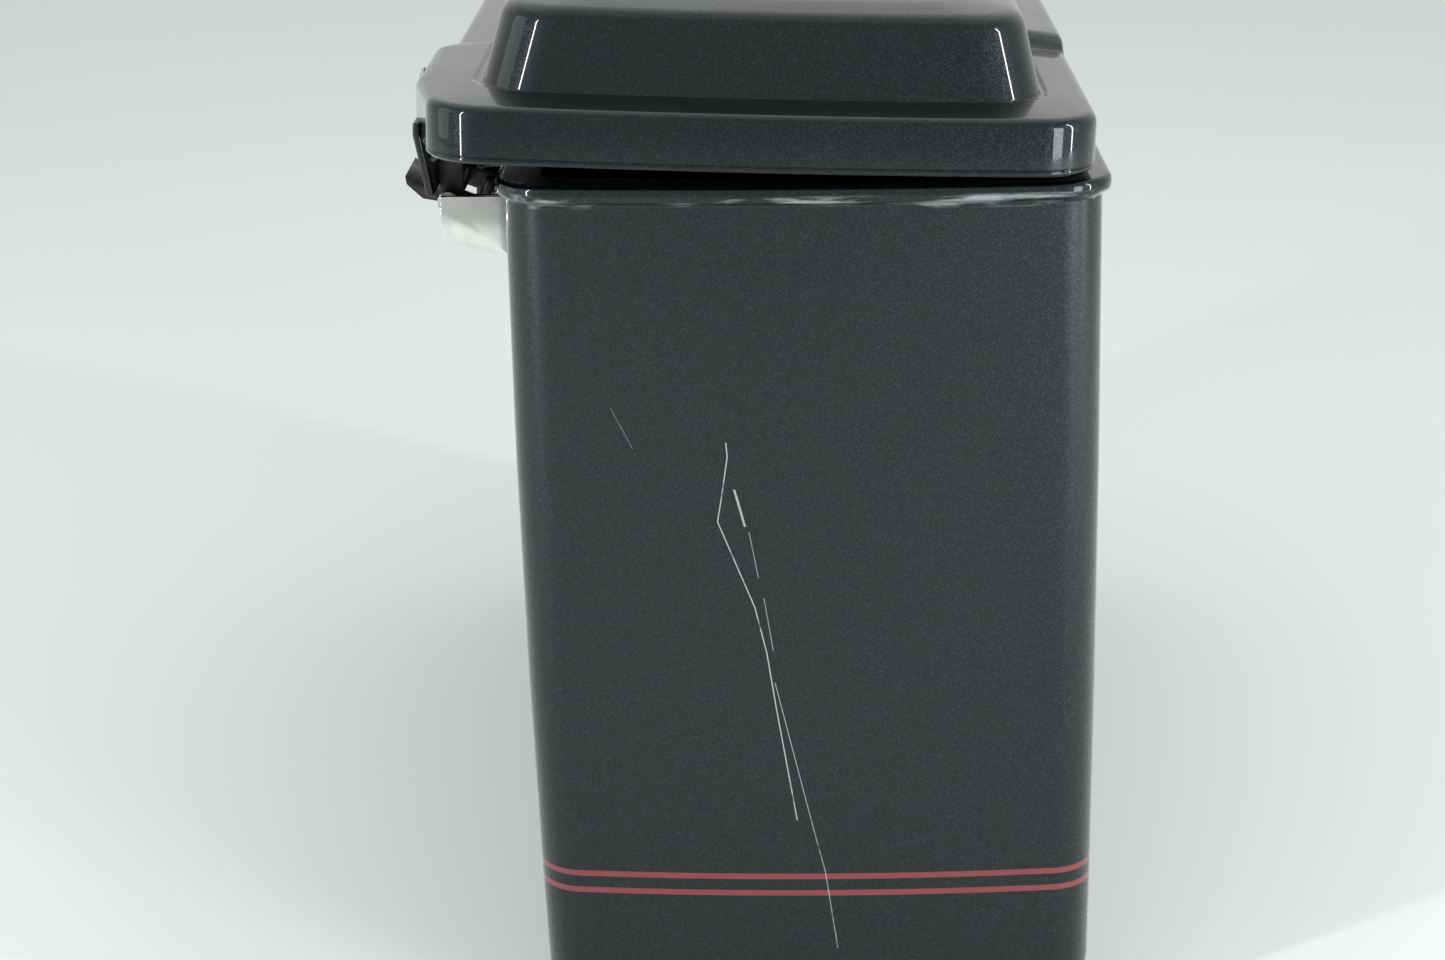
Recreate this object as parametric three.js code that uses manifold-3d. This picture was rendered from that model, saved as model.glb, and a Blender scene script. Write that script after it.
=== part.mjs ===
// A touring motorcycle's hard saddlebag: a moulded bag with a rolled rim, a stepped lid that opens outward on
// two hinge arms, its latch lever and lock, and the quarter-turn studs that hold it on the motorcycle.
// Millimetres. +X points inboard, +Y along the bag towards the motorcycle's front, +Z up.
// Everything is drawn in the closed position. The lid, the arms and their pins are then tipped about the inboard
// edge into the rest position, with the lid's outboard side raised. The latch lever is drawn pulled out.
import * as THREE from "three";
import { mergeVertices } from "three/addons/utils/BufferGeometryUtils.js";
import Module from "manifold-3d";

const wasm = await Module();
wasm.setup();

// ---- Driving dimensions ----

const BAG_HALF_LENGTH = 283; // middle of the bag to the middle of an end wall, just under the rim
const OUTBOARD_X = -111.3; // outboard wall just under the rim
const INBOARD_X = 113.6; // inboard wall just under the rim
const OUTBOARD_TAPER = 9; // how far the outboard wall curves in by the floor
const INBOARD_SWELL = 2.4; // how far the inboard wall swells out at its fullest
const END_BOW = 6; // how far the end walls bow out in the middle
const CORNER_RADIUS = 18;
const FLOOR_RADIUS = 30;
const BAG_HEIGHT = 352; // floor to the top of the rim
const BAG_WALL = 3.5;
const RIM_HEIGHT = 6.5;
const RIM_PROUD = 3.4;
const RIM_FLANGE = 13.5; // the rim's inner edge, in from the wall's outer face

const LID_GAP = 2.5; // rim top to the lid's lower edge, closed
const LID_OUTBOARD_X = -140;
const LID_INBOARD_X = 110;
const LID_END_REACH = 6; // how far the lid's ends stand past the rim's ends
const LID_CORNER_RADIUS = 24;
const LID_WALL = 3.2;
const SKIRT_HEIGHT = 21;
const LEDGE_WIDTH = 18.5; // along the sides
const LEDGE_END = 34; // at the ends
const CROWN_HEIGHT = 31; // the raised middle of the lid above its ledge
const CROWN_SLOPE = 8;
const PAD_HALF = 140; // the raised pad along the inboard ledge
const PAD_RISE = 5;
const LID_TILT = 1.9; // degrees that the lid is tipped up at rest

const LATCH_Y = -197; // middle of the latch along the bag
const TONGUE_HALF = 47;
const TONGUE_FACE_X = -147.5;
const TONGUE_CREASE = 1.2; // the tongue's fold above the lid's lower edge
const TONGUE_DROP = 22.6; // the tongue's lower end below the lid's lower edge
const TONGUE_WALL = 3;
const TONGUE_LEAN = 5.2; // how far the hanging wall leans in
const TONGUE_RETURN = 5.5; // depth of the hanging wall's two end returns

const HINGE_PIN_X = -135.5; // the pin that joins the arms, the lid and the latch lever
const HINGE_PIN_DROP = 27.5; // below the lid's lower edge
const ANCHOR_PIN_X = -124; // the pin that joins the arms to the bag
const ANCHOR_PIN_DROP = 31.5;
const PIN_RADIUS = 2.5;
const PIN_CLEARANCE = 0.35;
const ARM_OFFSET = 22; // latch middle to an arm's middle
const ARM_THICKNESS = 3;
const ARM_EYE = 4.7;
const BRACKET_EAR_OFFSET = 26.2;
const LID_EAR_OFFSET = 29.2;
const EAR_THICKNESS = 2.6;
const LEVER_HALF = 18;
const LEVER_BARREL = 4.2;
const LEVER_LIP = 18.5; // hinge pin to the lever's outboard edge

const LOCK_RADIUS = 6;
const LOCK_RISE = 9; // lock centre above the lid's lower edge

const FACE_PLATE_HALF = 39;
const FACE_PLATE_REACH = -138.6; // outboard face of the plate's returns
const FACE_PLATE_SHEET = 1.6;
const FACE_PLATE_DROP = 13.5; // rim top to the plate's top
const FACE_PLATE_HEIGHT = 24;
const FACE_PLATE_FRONT = 16.3; // height of the flanges' outboard edge
const FACE_PLATE_RETURN = 4.5;
const BRACKET_HALF = 28.4;
const BRACKET_SHEET = 2.4;
const BRACKET_SCREW_Y = 14; // from the latch middle
const BRACKET_SCREW_EDGE = 6.5; // from the plate's top and bottom
const PLATE_SCREW_Y = 33;

const STUD_Y = 150;
const STUD_DROP = 100; // rim top to a stud
const STUD_RADIUS = 5.5;
const STUD_REACH = 11; // how far a stud stands out of the inboard wall
const CLIP_SEAT = 1.5; // the clip's seat in the grommet, out from the wall
const BAIL_WIDTH = 13;
const BAIL_DROP = 20;
const BAIL_WIRE = 1.5;

const STRAP_WIDTH = 25;
const STRAP_THICKNESS = 1.6;
const STRAP_X = -45;
const STRAP_DROP = 88;

const GAP = 0.3; // between pieces that bear on each other
const SEAL_WIDTH = 5;
const SEAL_MARGIN = 0.8; // seal to the flange's inner edge
const PANEL_BOSS = 5;
const SCREW_HEAD = 4.2;
const SCREW_SHANK = 2;

// ---- Levels worked out from them ----

const LID_BASE = BAG_HEIGHT + LID_GAP;
const LEDGE_TOP = LID_BASE + SKIRT_HEIGHT;
const LID_TOP = LEDGE_TOP + CROWN_HEIGHT + 3;
const RIM_END = BAG_HALF_LENGTH + RIM_PROUD;
const LID_HALF_LENGTH = RIM_END + LID_END_REACH;
const CREASE_Z = LID_BASE + TONGUE_CREASE;
const TONGUE_BOTTOM = LID_BASE - TONGUE_DROP;
const TONGUE_INNER_X = TONGUE_FACE_X + TONGUE_WALL;
const HINGE_PIN_Z = LID_BASE - HINGE_PIN_DROP;
const ANCHOR_PIN_Z = LID_BASE - ANCHOR_PIN_DROP;
const TILT_X = LID_INBOARD_X;
const TILT_Z = LID_BASE;
const TILT = THREE.MathUtils.degToRad(LID_TILT);
const FACE_PLATE_TOP = BAG_HEIGHT - FACE_PLATE_DROP;
const FACE_PLATE_BOTTOM = FACE_PLATE_TOP - FACE_PLATE_HEIGHT;
const BRACKET_SCREW_TOP = FACE_PLATE_TOP - BRACKET_SCREW_EDGE;
const BRACKET_SCREW_BOTTOM = FACE_PLATE_BOTTOM + BRACKET_SCREW_EDGE;
const STUD_Z = BAG_HEIGHT - STUD_DROP;
const ANCHOR_TRAVEL = (TILT_X - ANCHOR_PIN_X) * Math.sin(TILT);

// ---- Finishes ----

const paint = () => new THREE.MeshStandardMaterial({ color: 0x2b3236, roughness: 0.25, metalness: 0.5 });
const blackPlastic = () => new THREE.MeshStandardMaterial({ color: 0x17181a, roughness: 0.65, metalness: 0 });
const polishedSteel = () => new THREE.MeshStandardMaterial({ color: 0xb9bcbc, roughness: 0.2, metalness: 1 });
const zincSteel = () => new THREE.MeshStandardMaterial({ color: 0x8b8d8c, roughness: 0.4, metalness: 0.9 });
const darkCasting = () => new THREE.MeshStandardMaterial({ color: 0x3a3736, roughness: 0.45, metalness: 0.6 });
const rubber = () => new THREE.MeshStandardMaterial({ color: 0x1a1a1a, roughness: 0.85, metalness: 0 });
const webbing = () => new THREE.MeshStandardMaterial({ color: 0x202123, roughness: 0.95, metalness: 0 });

// ---- Solids ----

// A closed geometry as a manifold-3d solid.
function solid(geometry) {
  const bare = geometry.index ? geometry.toNonIndexed() : geometry.clone();
  const position = new THREE.BufferGeometry().setAttribute("position", bare.getAttribute("position"));
  const merged = mergeVertices(position, 1e-4);
  const vertProperties = new Float32Array(merged.getAttribute("position").array);
  const triVerts = new Uint32Array(merged.index.array);
  return new wasm.Manifold(new wasm.Mesh({ numProp: 3, vertProperties, triVerts }));
}

// A manifold-3d solid as a geometry with flat faces.
function geometryOf(body) {
  const mesh = body.getMesh();
  const geometry = new THREE.BufferGeometry();
  geometry.setAttribute("position", new THREE.BufferAttribute(new Float32Array(mesh.vertProperties), 3));
  geometry.setIndex(new THREE.BufferAttribute(new Uint32Array(mesh.triVerts), 1));
  const flat = geometry.toNonIndexed();
  flat.computeVertexNormals();
  return flat;
}

const join = (first, ...others) => others.reduce((body, other) => body.add(other), first);
const cut = (first, ...others) => others.reduce((body, other) => body.subtract(other), first);

// A box between two corners.
function box(low, high) {
  const [x0, y0, z0] = low;
  const [x1, y1, z1] = high;
  const geometry = new THREE.BoxGeometry(x1 - x0, y1 - y0, z1 - z0);
  geometry.translate((x0 + x1) / 2, (y0 + y1) / 2, (z0 + z1) / 2);
  return solid(geometry);
}

// An outline of [x, z] points extruded along Y, from y0 to y1.
function alongY(outline, y0, y1) {
  const shape = new THREE.Shape(outline.map(([x, z]) => new THREE.Vector2(x, z)));
  const geometry = new THREE.ExtrudeGeometry(shape, { depth: y1 - y0, bevelEnabled: false });
  geometry.rotateX(Math.PI / 2);
  geometry.translate(0, y1, 0);
  return solid(geometry);
}

// An outline of [y, z] points extruded along X, from x0 to x1.
function alongX(outline, x0, x1) {
  const shape = new THREE.Shape(outline.map(([y, z]) => new THREE.Vector2(y, z)));
  const geometry = new THREE.ExtrudeGeometry(shape, { depth: x1 - x0, bevelEnabled: false });
  const turn = new THREE.Matrix4().makeBasis(
    new THREE.Vector3(0, 1, 0),
    new THREE.Vector3(0, 0, 1),
    new THREE.Vector3(1, 0, 0),
  );
  geometry.applyMatrix4(turn);
  geometry.translate(x0, 0, 0);
  return solid(geometry);
}

// A round bar along Y.
function barY(radius, x, y0, y1, z, sides = 20) {
  const geometry = new THREE.CylinderGeometry(radius, radius, y1 - y0, sides);
  geometry.translate(x, (y0 + y1) / 2, z);
  return solid(geometry);
}

// A round bar along X.
function barX(radius, x0, x1, y, z, sides = 20) {
  const geometry = new THREE.CylinderGeometry(radius, radius, x1 - x0, sides);
  geometry.rotateZ(Math.PI / 2);
  geometry.translate((x0 + x1) / 2, y, z);
  return solid(geometry);
}

// A round bar along Z.
function barZ(radius, x, y, z0, z1, sides = 20) {
  const geometry = new THREE.CylinderGeometry(radius, radius, z1 - z0, sides);
  geometry.rotateX(Math.PI / 2);
  geometry.translate(x, y, (z0 + z1) / 2);
  return solid(geometry);
}

// A ring about X, from [x, radius] profile corners in either order.
function ringX(profile, y, z, sides = 24) {
  const points = profile.map(([x, radius]) => new THREE.Vector2(radius, x));
  if (THREE.ShapeUtils.isClockWise(points)) points.reverse();
  const closed = [...points, points[0]];
  const geometry = new THREE.LatheGeometry(closed, sides);
  geometry.rotateZ(-Math.PI / 2);
  geometry.translate(0, y, z);
  return solid(geometry);
}

// One level of a shell: a rounded rectangle whose ends bow out, as a ring of points at height z.
function level({ outboard, inboard, halfLength, radius, bow, z }) {
  const SIDE_STEPS = 6;
  const CORNER_STEPS = 5;
  const points = [];
  const endWall = (side) => {
    for (let i = 0; i < SIDE_STEPS; i++) {
      const t = i / SIDE_STEPS;
      const across = THREE.MathUtils.lerp(outboard + radius, inboard - radius, side < 0 ? t : 1 - t);
      points.push([across, side * (halfLength - bow * (2 * t - 1) ** 2)]);
    }
  };
  const corner = (x, y, start) => {
    for (let i = 0; i < CORNER_STEPS; i++) {
      const angle = start + (Math.PI / 2) * (i / CORNER_STEPS);
      points.push([x + radius * Math.cos(angle), y + radius * Math.sin(angle)]);
    }
  };
  const cornerY = halfLength - bow - radius;
  endWall(-1);
  corner(inboard - radius, -cornerY, -Math.PI / 2);
  points.push([inboard, -cornerY], [inboard, 0]);
  corner(inboard - radius, cornerY, 0);
  endWall(1);
  corner(outboard + radius, cornerY, Math.PI / 2);
  points.push([outboard, cornerY], [outboard, 0]);
  corner(outboard + radius, -cornerY, Math.PI);
  return points.map(([x, y]) => new THREE.Vector3(x, y, z));
}

// A closed solid through rings of equal point counts, lowest ring first, each running anticlockwise from above.
function loft(rings) {
  const count = rings[0].length;
  const corners = [];
  const face = (a, b, c) => corners.push(a, b, c);
  for (let r = 0; r + 1 < rings.length; r++) {
    for (let i = 0; i < count; i++) {
      const next = (i + 1) % count;
      face(rings[r][i], rings[r][next], rings[r + 1][next]);
      face(rings[r][i], rings[r + 1][next], rings[r + 1][i]);
    }
  }
  const middle = (ring) => ring.reduce((sum, p) => sum.add(p), new THREE.Vector3()).divideScalar(count);
  const low = middle(rings[0]);
  const high = middle(rings[rings.length - 1]);
  for (let i = 0; i < count; i++) {
    const next = (i + 1) % count;
    face(low, rings[0][next], rings[0][i]);
    face(high, rings[rings.length - 1][i], rings[rings.length - 1][next]);
  }
  return solid(new THREE.BufferGeometry().setFromPoints(corners));
}

// ---- Pieces ----

const fixedPieces = new THREE.Group();
const drawnPieces = new THREE.Group(); // the arms and the anchor pin
const lidPieces = new THREE.Group();

function add(group, name, body, material) {
  const mesh = new THREE.Mesh(geometryOf(body), material);
  mesh.name = name;
  group.add(mesh);
}

// A pan-head screw along X with a hexagon socket: the head's bearing face is at x, the shank runs towards `into`.
function screwX(x, y, z, into, shankLength) {
  const headHeight = 2.4;
  const side = Math.sign(into);
  const span = (a, b) => [Math.min(a, b), Math.max(a, b)];
  const top = x - side * headHeight;
  const head = barX(SCREW_HEAD, ...span(x, top), y, z, 16);
  const shank = barX(SCREW_SHANK, ...span(x - side * 0.5, x + side * shankLength), y, z, 12);
  const socket = barX(1.7, ...span(top - side, top + side * 1.3), y, z, 6);
  return cut(join(head, shank), socket);
}

// The same screw pointing up, with its head's bearing face at z.
function screwZ(x, y, z, shankLength) {
  const low = z - 2.4;
  const head = barZ(SCREW_HEAD, x, y, low, z, 16);
  const shank = barZ(SCREW_SHANK, x, y, z - 0.5, z + shankLength, 12);
  return cut(join(head, shank), barZ(1.7, x, y, low - 1, low + 1.3, 6));
}

const outboardAt = (z) => OUTBOARD_X + OUTBOARD_TAPER * Math.max(0, 1 - z / BAG_HEIGHT) ** 2;
const inboardAt = (z) => {
  const fullest = BAG_HEIGHT * 0.3;
  return INBOARD_X + INBOARD_SWELL * (1 - ((z - fullest) / (BAG_HEIGHT - fullest)) ** 2);
};

// The bag's outline at a height, moved in by `inset`.
function bagLevel(z, inset, shapeZ = z) {
  return level({
    outboard: outboardAt(shapeZ) + inset,
    inboard: inboardAt(shapeZ) - inset,
    halfLength: BAG_HALF_LENGTH - inset,
    radius: Math.max(CORNER_RADIUS - inset, 6),
    bow: END_BOW,
    z,
  });
}

const STUD_PLACES = [
  ["rear", -STUD_Y],
  ["front", STUD_Y],
];
const BRACKET_SCREWS = [
  [LATCH_Y - BRACKET_SCREW_Y, BRACKET_SCREW_BOTTOM],
  [LATCH_Y + BRACKET_SCREW_Y, BRACKET_SCREW_BOTTOM],
  [LATCH_Y - BRACKET_SCREW_Y, BRACKET_SCREW_TOP],
  [LATCH_Y + BRACKET_SCREW_Y, BRACKET_SCREW_TOP],
];
const PLATE_SCREWS = [LATCH_Y - PLATE_SCREW_Y, LATCH_Y + PLATE_SCREW_Y];
const PLATE_SCREW_Z = (FACE_PLATE_TOP + FACE_PLATE_BOTTOM) / 2;
const GROMMET_SLEEVE = STUD_RADIUS + 3.4;
const WALL_OUT = Math.min(outboardAt(FACE_PLATE_TOP), outboardAt(FACE_PLATE_BOTTOM)); // flat zone for hardware
const WALL_IN = WALL_OUT + BAG_WALL;
const SCREW_HOLE = SCREW_SHANK + GAP;

// The moulded bag: floor, walls and rolled rim, open at the top.
function bagShell() {
  const outer = [];
  const FILLET_STEPS = 5;
  for (let i = 0; i < FILLET_STEPS; i++) {
    const angle = (i / FILLET_STEPS) * (Math.PI / 2);
    const z = FLOOR_RADIUS * (1 - Math.cos(angle));
    outer.push(bagLevel(z, FLOOR_RADIUS * (1 - Math.sin(angle)), FLOOR_RADIUS));
  }
  const straight = BAG_HEIGHT - RIM_HEIGHT;
  for (const share of [0.1, 0.3, 0.5, 0.7, 0.85]) outer.push(bagLevel(straight * share, 0));
  const beadProfile = [
    [0, 0],
    [0.08, 0.7],
    [0.3, 1],
    [0.65, 1],
    [0.88, 0.75],
    [1, 0.3],
  ];
  for (const [rise, proud] of beadProfile) {
    outer.push(bagLevel(straight + rise * RIM_HEIGHT, -proud * RIM_PROUD, straight));
  }
  const innerRadius = FLOOR_RADIUS - BAG_WALL;
  const inner = [];
  for (let i = 0; i < FILLET_STEPS; i++) {
    const angle = (i / FILLET_STEPS) * (Math.PI / 2);
    const inset = BAG_WALL + innerRadius * (1 - Math.sin(angle));
    inner.push(bagLevel(BAG_WALL + innerRadius * (1 - Math.cos(angle)), inset, FLOOR_RADIUS));
  }
  for (const share of [0.1, 0.3, 0.5, 0.7, 0.85, 1]) inner.push(bagLevel(straight * share, BAG_WALL));
  inner.push(bagLevel(straight + BAG_WALL, RIM_FLANGE, straight));
  inner.push(bagLevel(BAG_HEIGHT + 1, RIM_FLANGE, straight));
  const studHoles = STUD_PLACES.map(([, y]) => barX(GROMMET_SLEEVE + GAP, 90, 130, y, STUD_Z, 24));
  const screwHoles = [
    ...BRACKET_SCREWS.map(([y, z]) => barX(SCREW_HOLE, WALL_OUT - 3, WALL_IN + 3, y, z, 12)),
    ...PLATE_SCREWS.map((y) => barX(SCREW_HOLE, WALL_OUT - 3, WALL_IN + 3, y, PLATE_SCREW_Z, 12)),
  ];
  return cut(loft(outer), loft(inner), ...studHoles, ...screwHoles);
}

const HOUSING_LOW = CREASE_Z + 3;
const HOUSING_HIGH = LEDGE_TOP - TONGUE_WALL - 4.1;
const HOUSING_SCREW_Y = [-38, 38];
const HOUSING_SCREW_Z = (HOUSING_LOW + HOUSING_HIGH) / 2;
const PANEL_Z = LID_BASE + 3.5;
const PANEL_SHEET = 2.4;
const PANEL_SCREWS = [-1, 0, 1].flatMap((along) => [
  [LID_OUTBOARD_X + LEDGE_WIDTH + 11, along * (LID_HALF_LENGTH - 60)],
  [LID_INBOARD_X - LEDGE_WIDTH - 11, along * (LID_HALF_LENGTH - 60)],
]);

// The lid's outline at a height above its lower edge, moved in by `inset`, and at the ends by `endInset`
// more.
function lidLevel(rise, inset, radius, endInset) {
  return level({
    outboard: LID_OUTBOARD_X + inset,
    inboard: LID_INBOARD_X - inset,
    halfLength: LID_HALF_LENGTH - inset - endInset,
    radius: Math.max(radius, 3),
    bow: END_BOW,
    z: LID_BASE + rise,
  });
}

// The lid's levels, from the lower edge to the crown, for its outer face or, with a wall, its inner face.
function lidBody(wall) {
  const crown = SKIRT_HEIGHT + 1.5;
  const endInset = LEDGE_END - LEDGE_WIDTH;
  const outer = [
    [0, 0.8, LID_CORNER_RADIUS, 0],
    [1.2, 0, LID_CORNER_RADIUS, 0],
    [SKIRT_HEIGHT - 4, 0, LID_CORNER_RADIUS, 0],
    [SKIRT_HEIGHT - 1.3, 1.1, LID_CORNER_RADIUS, 0],
    [SKIRT_HEIGHT, 4, LID_CORNER_RADIUS - 2, 0],
    [crown, LEDGE_WIDTH, LID_CORNER_RADIUS, endInset],
    [crown + 2.5, LEDGE_WIDTH + 1.8, LID_CORNER_RADIUS, endInset],
    [crown + CROWN_HEIGHT * 0.72, LEDGE_WIDTH + CROWN_SLOPE, LID_CORNER_RADIUS + 4, endInset],
    [crown + CROWN_HEIGHT * 0.9, LEDGE_WIDTH + CROWN_SLOPE + 4, LID_CORNER_RADIUS + 4, endInset],
    [crown + CROWN_HEIGHT, LEDGE_WIDTH + CROWN_SLOPE + 12, LID_CORNER_RADIUS + 2, endInset],
    [crown + CROWN_HEIGHT + 1.5, LEDGE_WIDTH + CROWN_SLOPE + 34, LID_CORNER_RADIUS, endInset],
  ];
  if (!wall) return loft(outer.map((row) => lidLevel(...row)));
  const inner = outer
    .slice(2)
    .map(([rise, inset, radius, end]) => lidLevel(rise - wall, inset + wall, radius - wall, end));
  return loft([lidLevel(-2, wall, LID_CORNER_RADIUS - wall, 0), ...inner]);
}

// The tongue's outline across the bag, as [x, z]; `inset` gives its inner face.
function tongueUpper(inset) {
  const top = LEDGE_TOP - 0.8 - inset;
  const face = TONGUE_FACE_X + inset;
  const inner = LID_OUTBOARD_X + 8;
  return [
    [inner, top],
    [face + 3, top],
    [face, top - 3],
    [face, CREASE_Z],
    [inner, CREASE_Z],
  ];
}

// The lid's shell with its latch tongue, inboard pad and panel bosses.
function lidShell() {
  const y0 = LATCH_Y - TONGUE_HALF;
  const y1 = LATCH_Y + TONGUE_HALF;
  const upper = alongY(tongueUpper(0), y0, y1);
  const hangingOutline = (depth) => [
    [TONGUE_FACE_X, CREASE_Z + 1],
    [TONGUE_FACE_X, CREASE_Z],
    [TONGUE_FACE_X + TONGUE_LEAN, TONGUE_BOTTOM],
    [TONGUE_FACE_X + TONGUE_LEAN + depth, TONGUE_BOTTOM],
    [TONGUE_FACE_X + depth, CREASE_Z],
    [TONGUE_FACE_X + depth, CREASE_Z + 1],
  ];
  const hanging = join(
    alongY(hangingOutline(TONGUE_WALL), y0, y1),
    alongY(hangingOutline(TONGUE_RETURN), y0, y0 + TONGUE_WALL),
    alongY(hangingOutline(TONGUE_RETURN), y1 - TONGUE_WALL, y1),
  );
  const padX = LID_INBOARD_X - LEDGE_WIDTH - 4;
  const pad = alongY(
    [
      [padX, LEDGE_TOP - 2],
      [LID_INBOARD_X, LEDGE_TOP - 3],
      [LID_INBOARD_X, LEDGE_TOP + PAD_RISE - 1.5],
      [LID_INBOARD_X - 1.5, LEDGE_TOP + PAD_RISE],
      [padX, LEDGE_TOP + PAD_RISE],
    ],
    -PAD_HALF,
    PAD_HALF,
  );
  const hollow = tongueUpper(TONGUE_WALL).map(([x, z]) => [x, z === CREASE_Z ? CREASE_Z - 2 : z]);
  const lockHole = barX(LOCK_RADIUS + 2 + GAP, TONGUE_FACE_X - 2, TONGUE_INNER_X + 2, LATCH_Y, LID_BASE + LOCK_RISE);
  const openHollow = alongY(hollow, y0 + TONGUE_WALL, y1 - TONGUE_WALL);
  const shell = cut(join(lidBody(0), upper, pad), lidBody(LID_WALL), openHollow);
  const bossFoot = PANEL_Z + PANEL_SHEET + GAP;
  const bosses = PANEL_SCREWS.map(([x, y]) => barZ(PANEL_BOSS, x, y, bossFoot, LID_TOP, 16));
  const bossesInside = join(...bosses).intersect(lidBody(0));
  const pilots = PANEL_SCREWS.map(([x, y]) => barZ(SCREW_HOLE, x, y, bossFoot - 1, bossFoot + 12, 12));
  return cut(join(shell, hanging, bossesInside), lockHole, ...pilots);
}

// The lid's seal: a flat ring that lands on the rim's flange.
function lidSeal(z0, z1) {
  const inner = RIM_FLANGE - SEAL_MARGIN;
  const ring = (z, inset) => bagLevel(z, inset, BAG_HEIGHT);
  const outer = loft([ring(z0, inner - SEAL_WIDTH), ring(z1, inner - SEAL_WIDTH)]);
  return cut(outer, loft([ring(z0 - 1, inner), ring(z1 + 1, inner)]));
}

// The flat panel under the lid, which carries the seal's other side and the strap's clip.
function lidPanel() {
  const outline = (z) =>
    level({
      outboard: OUTBOARD_X - 8,
      inboard: LID_INBOARD_X - LID_WALL - 0.6,
      halfLength: BAG_HALF_LENGTH + 3,
      radius: CORNER_RADIUS,
      bow: END_BOW,
      z,
    });
  const holes = PANEL_SCREWS.map(([x, y]) => barZ(SCREW_HOLE, x, y, PANEL_Z - 1, PANEL_Z + PANEL_SHEET + 1, 12));
  return cut(loft([outline(PANEL_Z), outline(PANEL_Z + PANEL_SHEET)]), ...holes);
}

// The polished plate on the outboard wall: a back panel, two side flanges and their short returns.
function facePlate() {
  const back = WALL_OUT - GAP;
  const y0 = LATCH_Y - FACE_PLATE_HALF;
  const y1 = LATCH_Y + FACE_PLATE_HALF;
  const panel = box([back - FACE_PLATE_SHEET, y0, FACE_PLATE_BOTTOM], [back, y1, FACE_PLATE_TOP]);
  const flangeOutline = [
    [back, FACE_PLATE_TOP],
    [FACE_PLATE_REACH, FACE_PLATE_TOP],
    [FACE_PLATE_REACH, FACE_PLATE_TOP - FACE_PLATE_FRONT],
    [FACE_PLATE_REACH + 4, FACE_PLATE_TOP - FACE_PLATE_FRONT - 2],
    [back, FACE_PLATE_BOTTOM],
  ];
  const flanges = [
    alongY(flangeOutline, y0, y0 + FACE_PLATE_SHEET),
    alongY(flangeOutline, y1 - FACE_PLATE_SHEET, y1),
  ];
  const returnFace = (from, to) =>
    box(
      [FACE_PLATE_REACH, from, FACE_PLATE_TOP - FACE_PLATE_FRONT],
      [FACE_PLATE_REACH + FACE_PLATE_SHEET, to, FACE_PLATE_TOP],
    );
  const returns = [returnFace(y0, y0 + FACE_PLATE_RETURN), returnFace(y1 - FACE_PLATE_RETURN, y1)];
  const x0 = back - FACE_PLATE_SHEET - 1;
  const holes = [
    ...BRACKET_SCREWS.map(([y, z]) => barX(SCREW_HOLE, x0, back + 1, y, z, 12)),
    ...PLATE_SCREWS.map((y) => barX(SCREW_HOLE, x0, back + 1, y, PLATE_SCREW_Z, 12)),
  ];
  return cut(join(panel, ...flanges, ...returns), ...holes);
}

const BRACKET_BACK = WALL_OUT - GAP - FACE_PLATE_SHEET - GAP;

// The bag's half of the hinge: a base on the face plate and two ears whose slots guide the anchor pin.
function hingeBracket() {
  const x1 = BRACKET_BACK;
  const z0 = FACE_PLATE_BOTTOM + 1;
  const z1 = FACE_PLATE_TOP - 1;
  const base = box([x1 - BRACKET_SHEET, LATCH_Y - BRACKET_HALF, z0], [x1, LATCH_Y + BRACKET_HALF, z1]);
  const slotHalf = PIN_RADIUS + PIN_CLEARANCE;
  const slotLow = ANCHOR_PIN_Z - slotHalf;
  const slotHigh = ANCHOR_PIN_Z + ANCHOR_TRAVEL + slotHalf;
  const earOutline = [
    [x1, z0],
    [ANCHOR_PIN_X + 1, slotLow - 2.4],
    [ANCHOR_PIN_X - slotHalf - 4, slotLow - 1.2],
    [ANCHOR_PIN_X - slotHalf - 4, slotHigh + 1],
    [ANCHOR_PIN_X - slotHalf, slotHigh + 3],
    [x1, slotHigh + 3],
  ];
  const slot = [
    [ANCHOR_PIN_X - slotHalf - 1.8, slotLow],
    [ANCHOR_PIN_X + slotHalf, slotLow],
    [ANCHOR_PIN_X + slotHalf, slotHigh],
    [ANCHOR_PIN_X - slotHalf - 1.8, slotHigh],
  ];
  const ears = [-1, 1].map((side) => {
    const middle = LATCH_Y + side * BRACKET_EAR_OFFSET;
    const ear = alongY(earOutline, middle - EAR_THICKNESS / 2, middle + EAR_THICKNESS / 2);
    return cut(ear, alongY(slot, middle - EAR_THICKNESS, middle + EAR_THICKNESS));
  });
  const holes = BRACKET_SCREWS.map(([y, z]) => barX(SCREW_HOLE, x1 - BRACKET_SHEET - 1, x1 + 1, y, z, 12));
  return cut(join(base, ...ears), ...holes);
}

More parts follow.
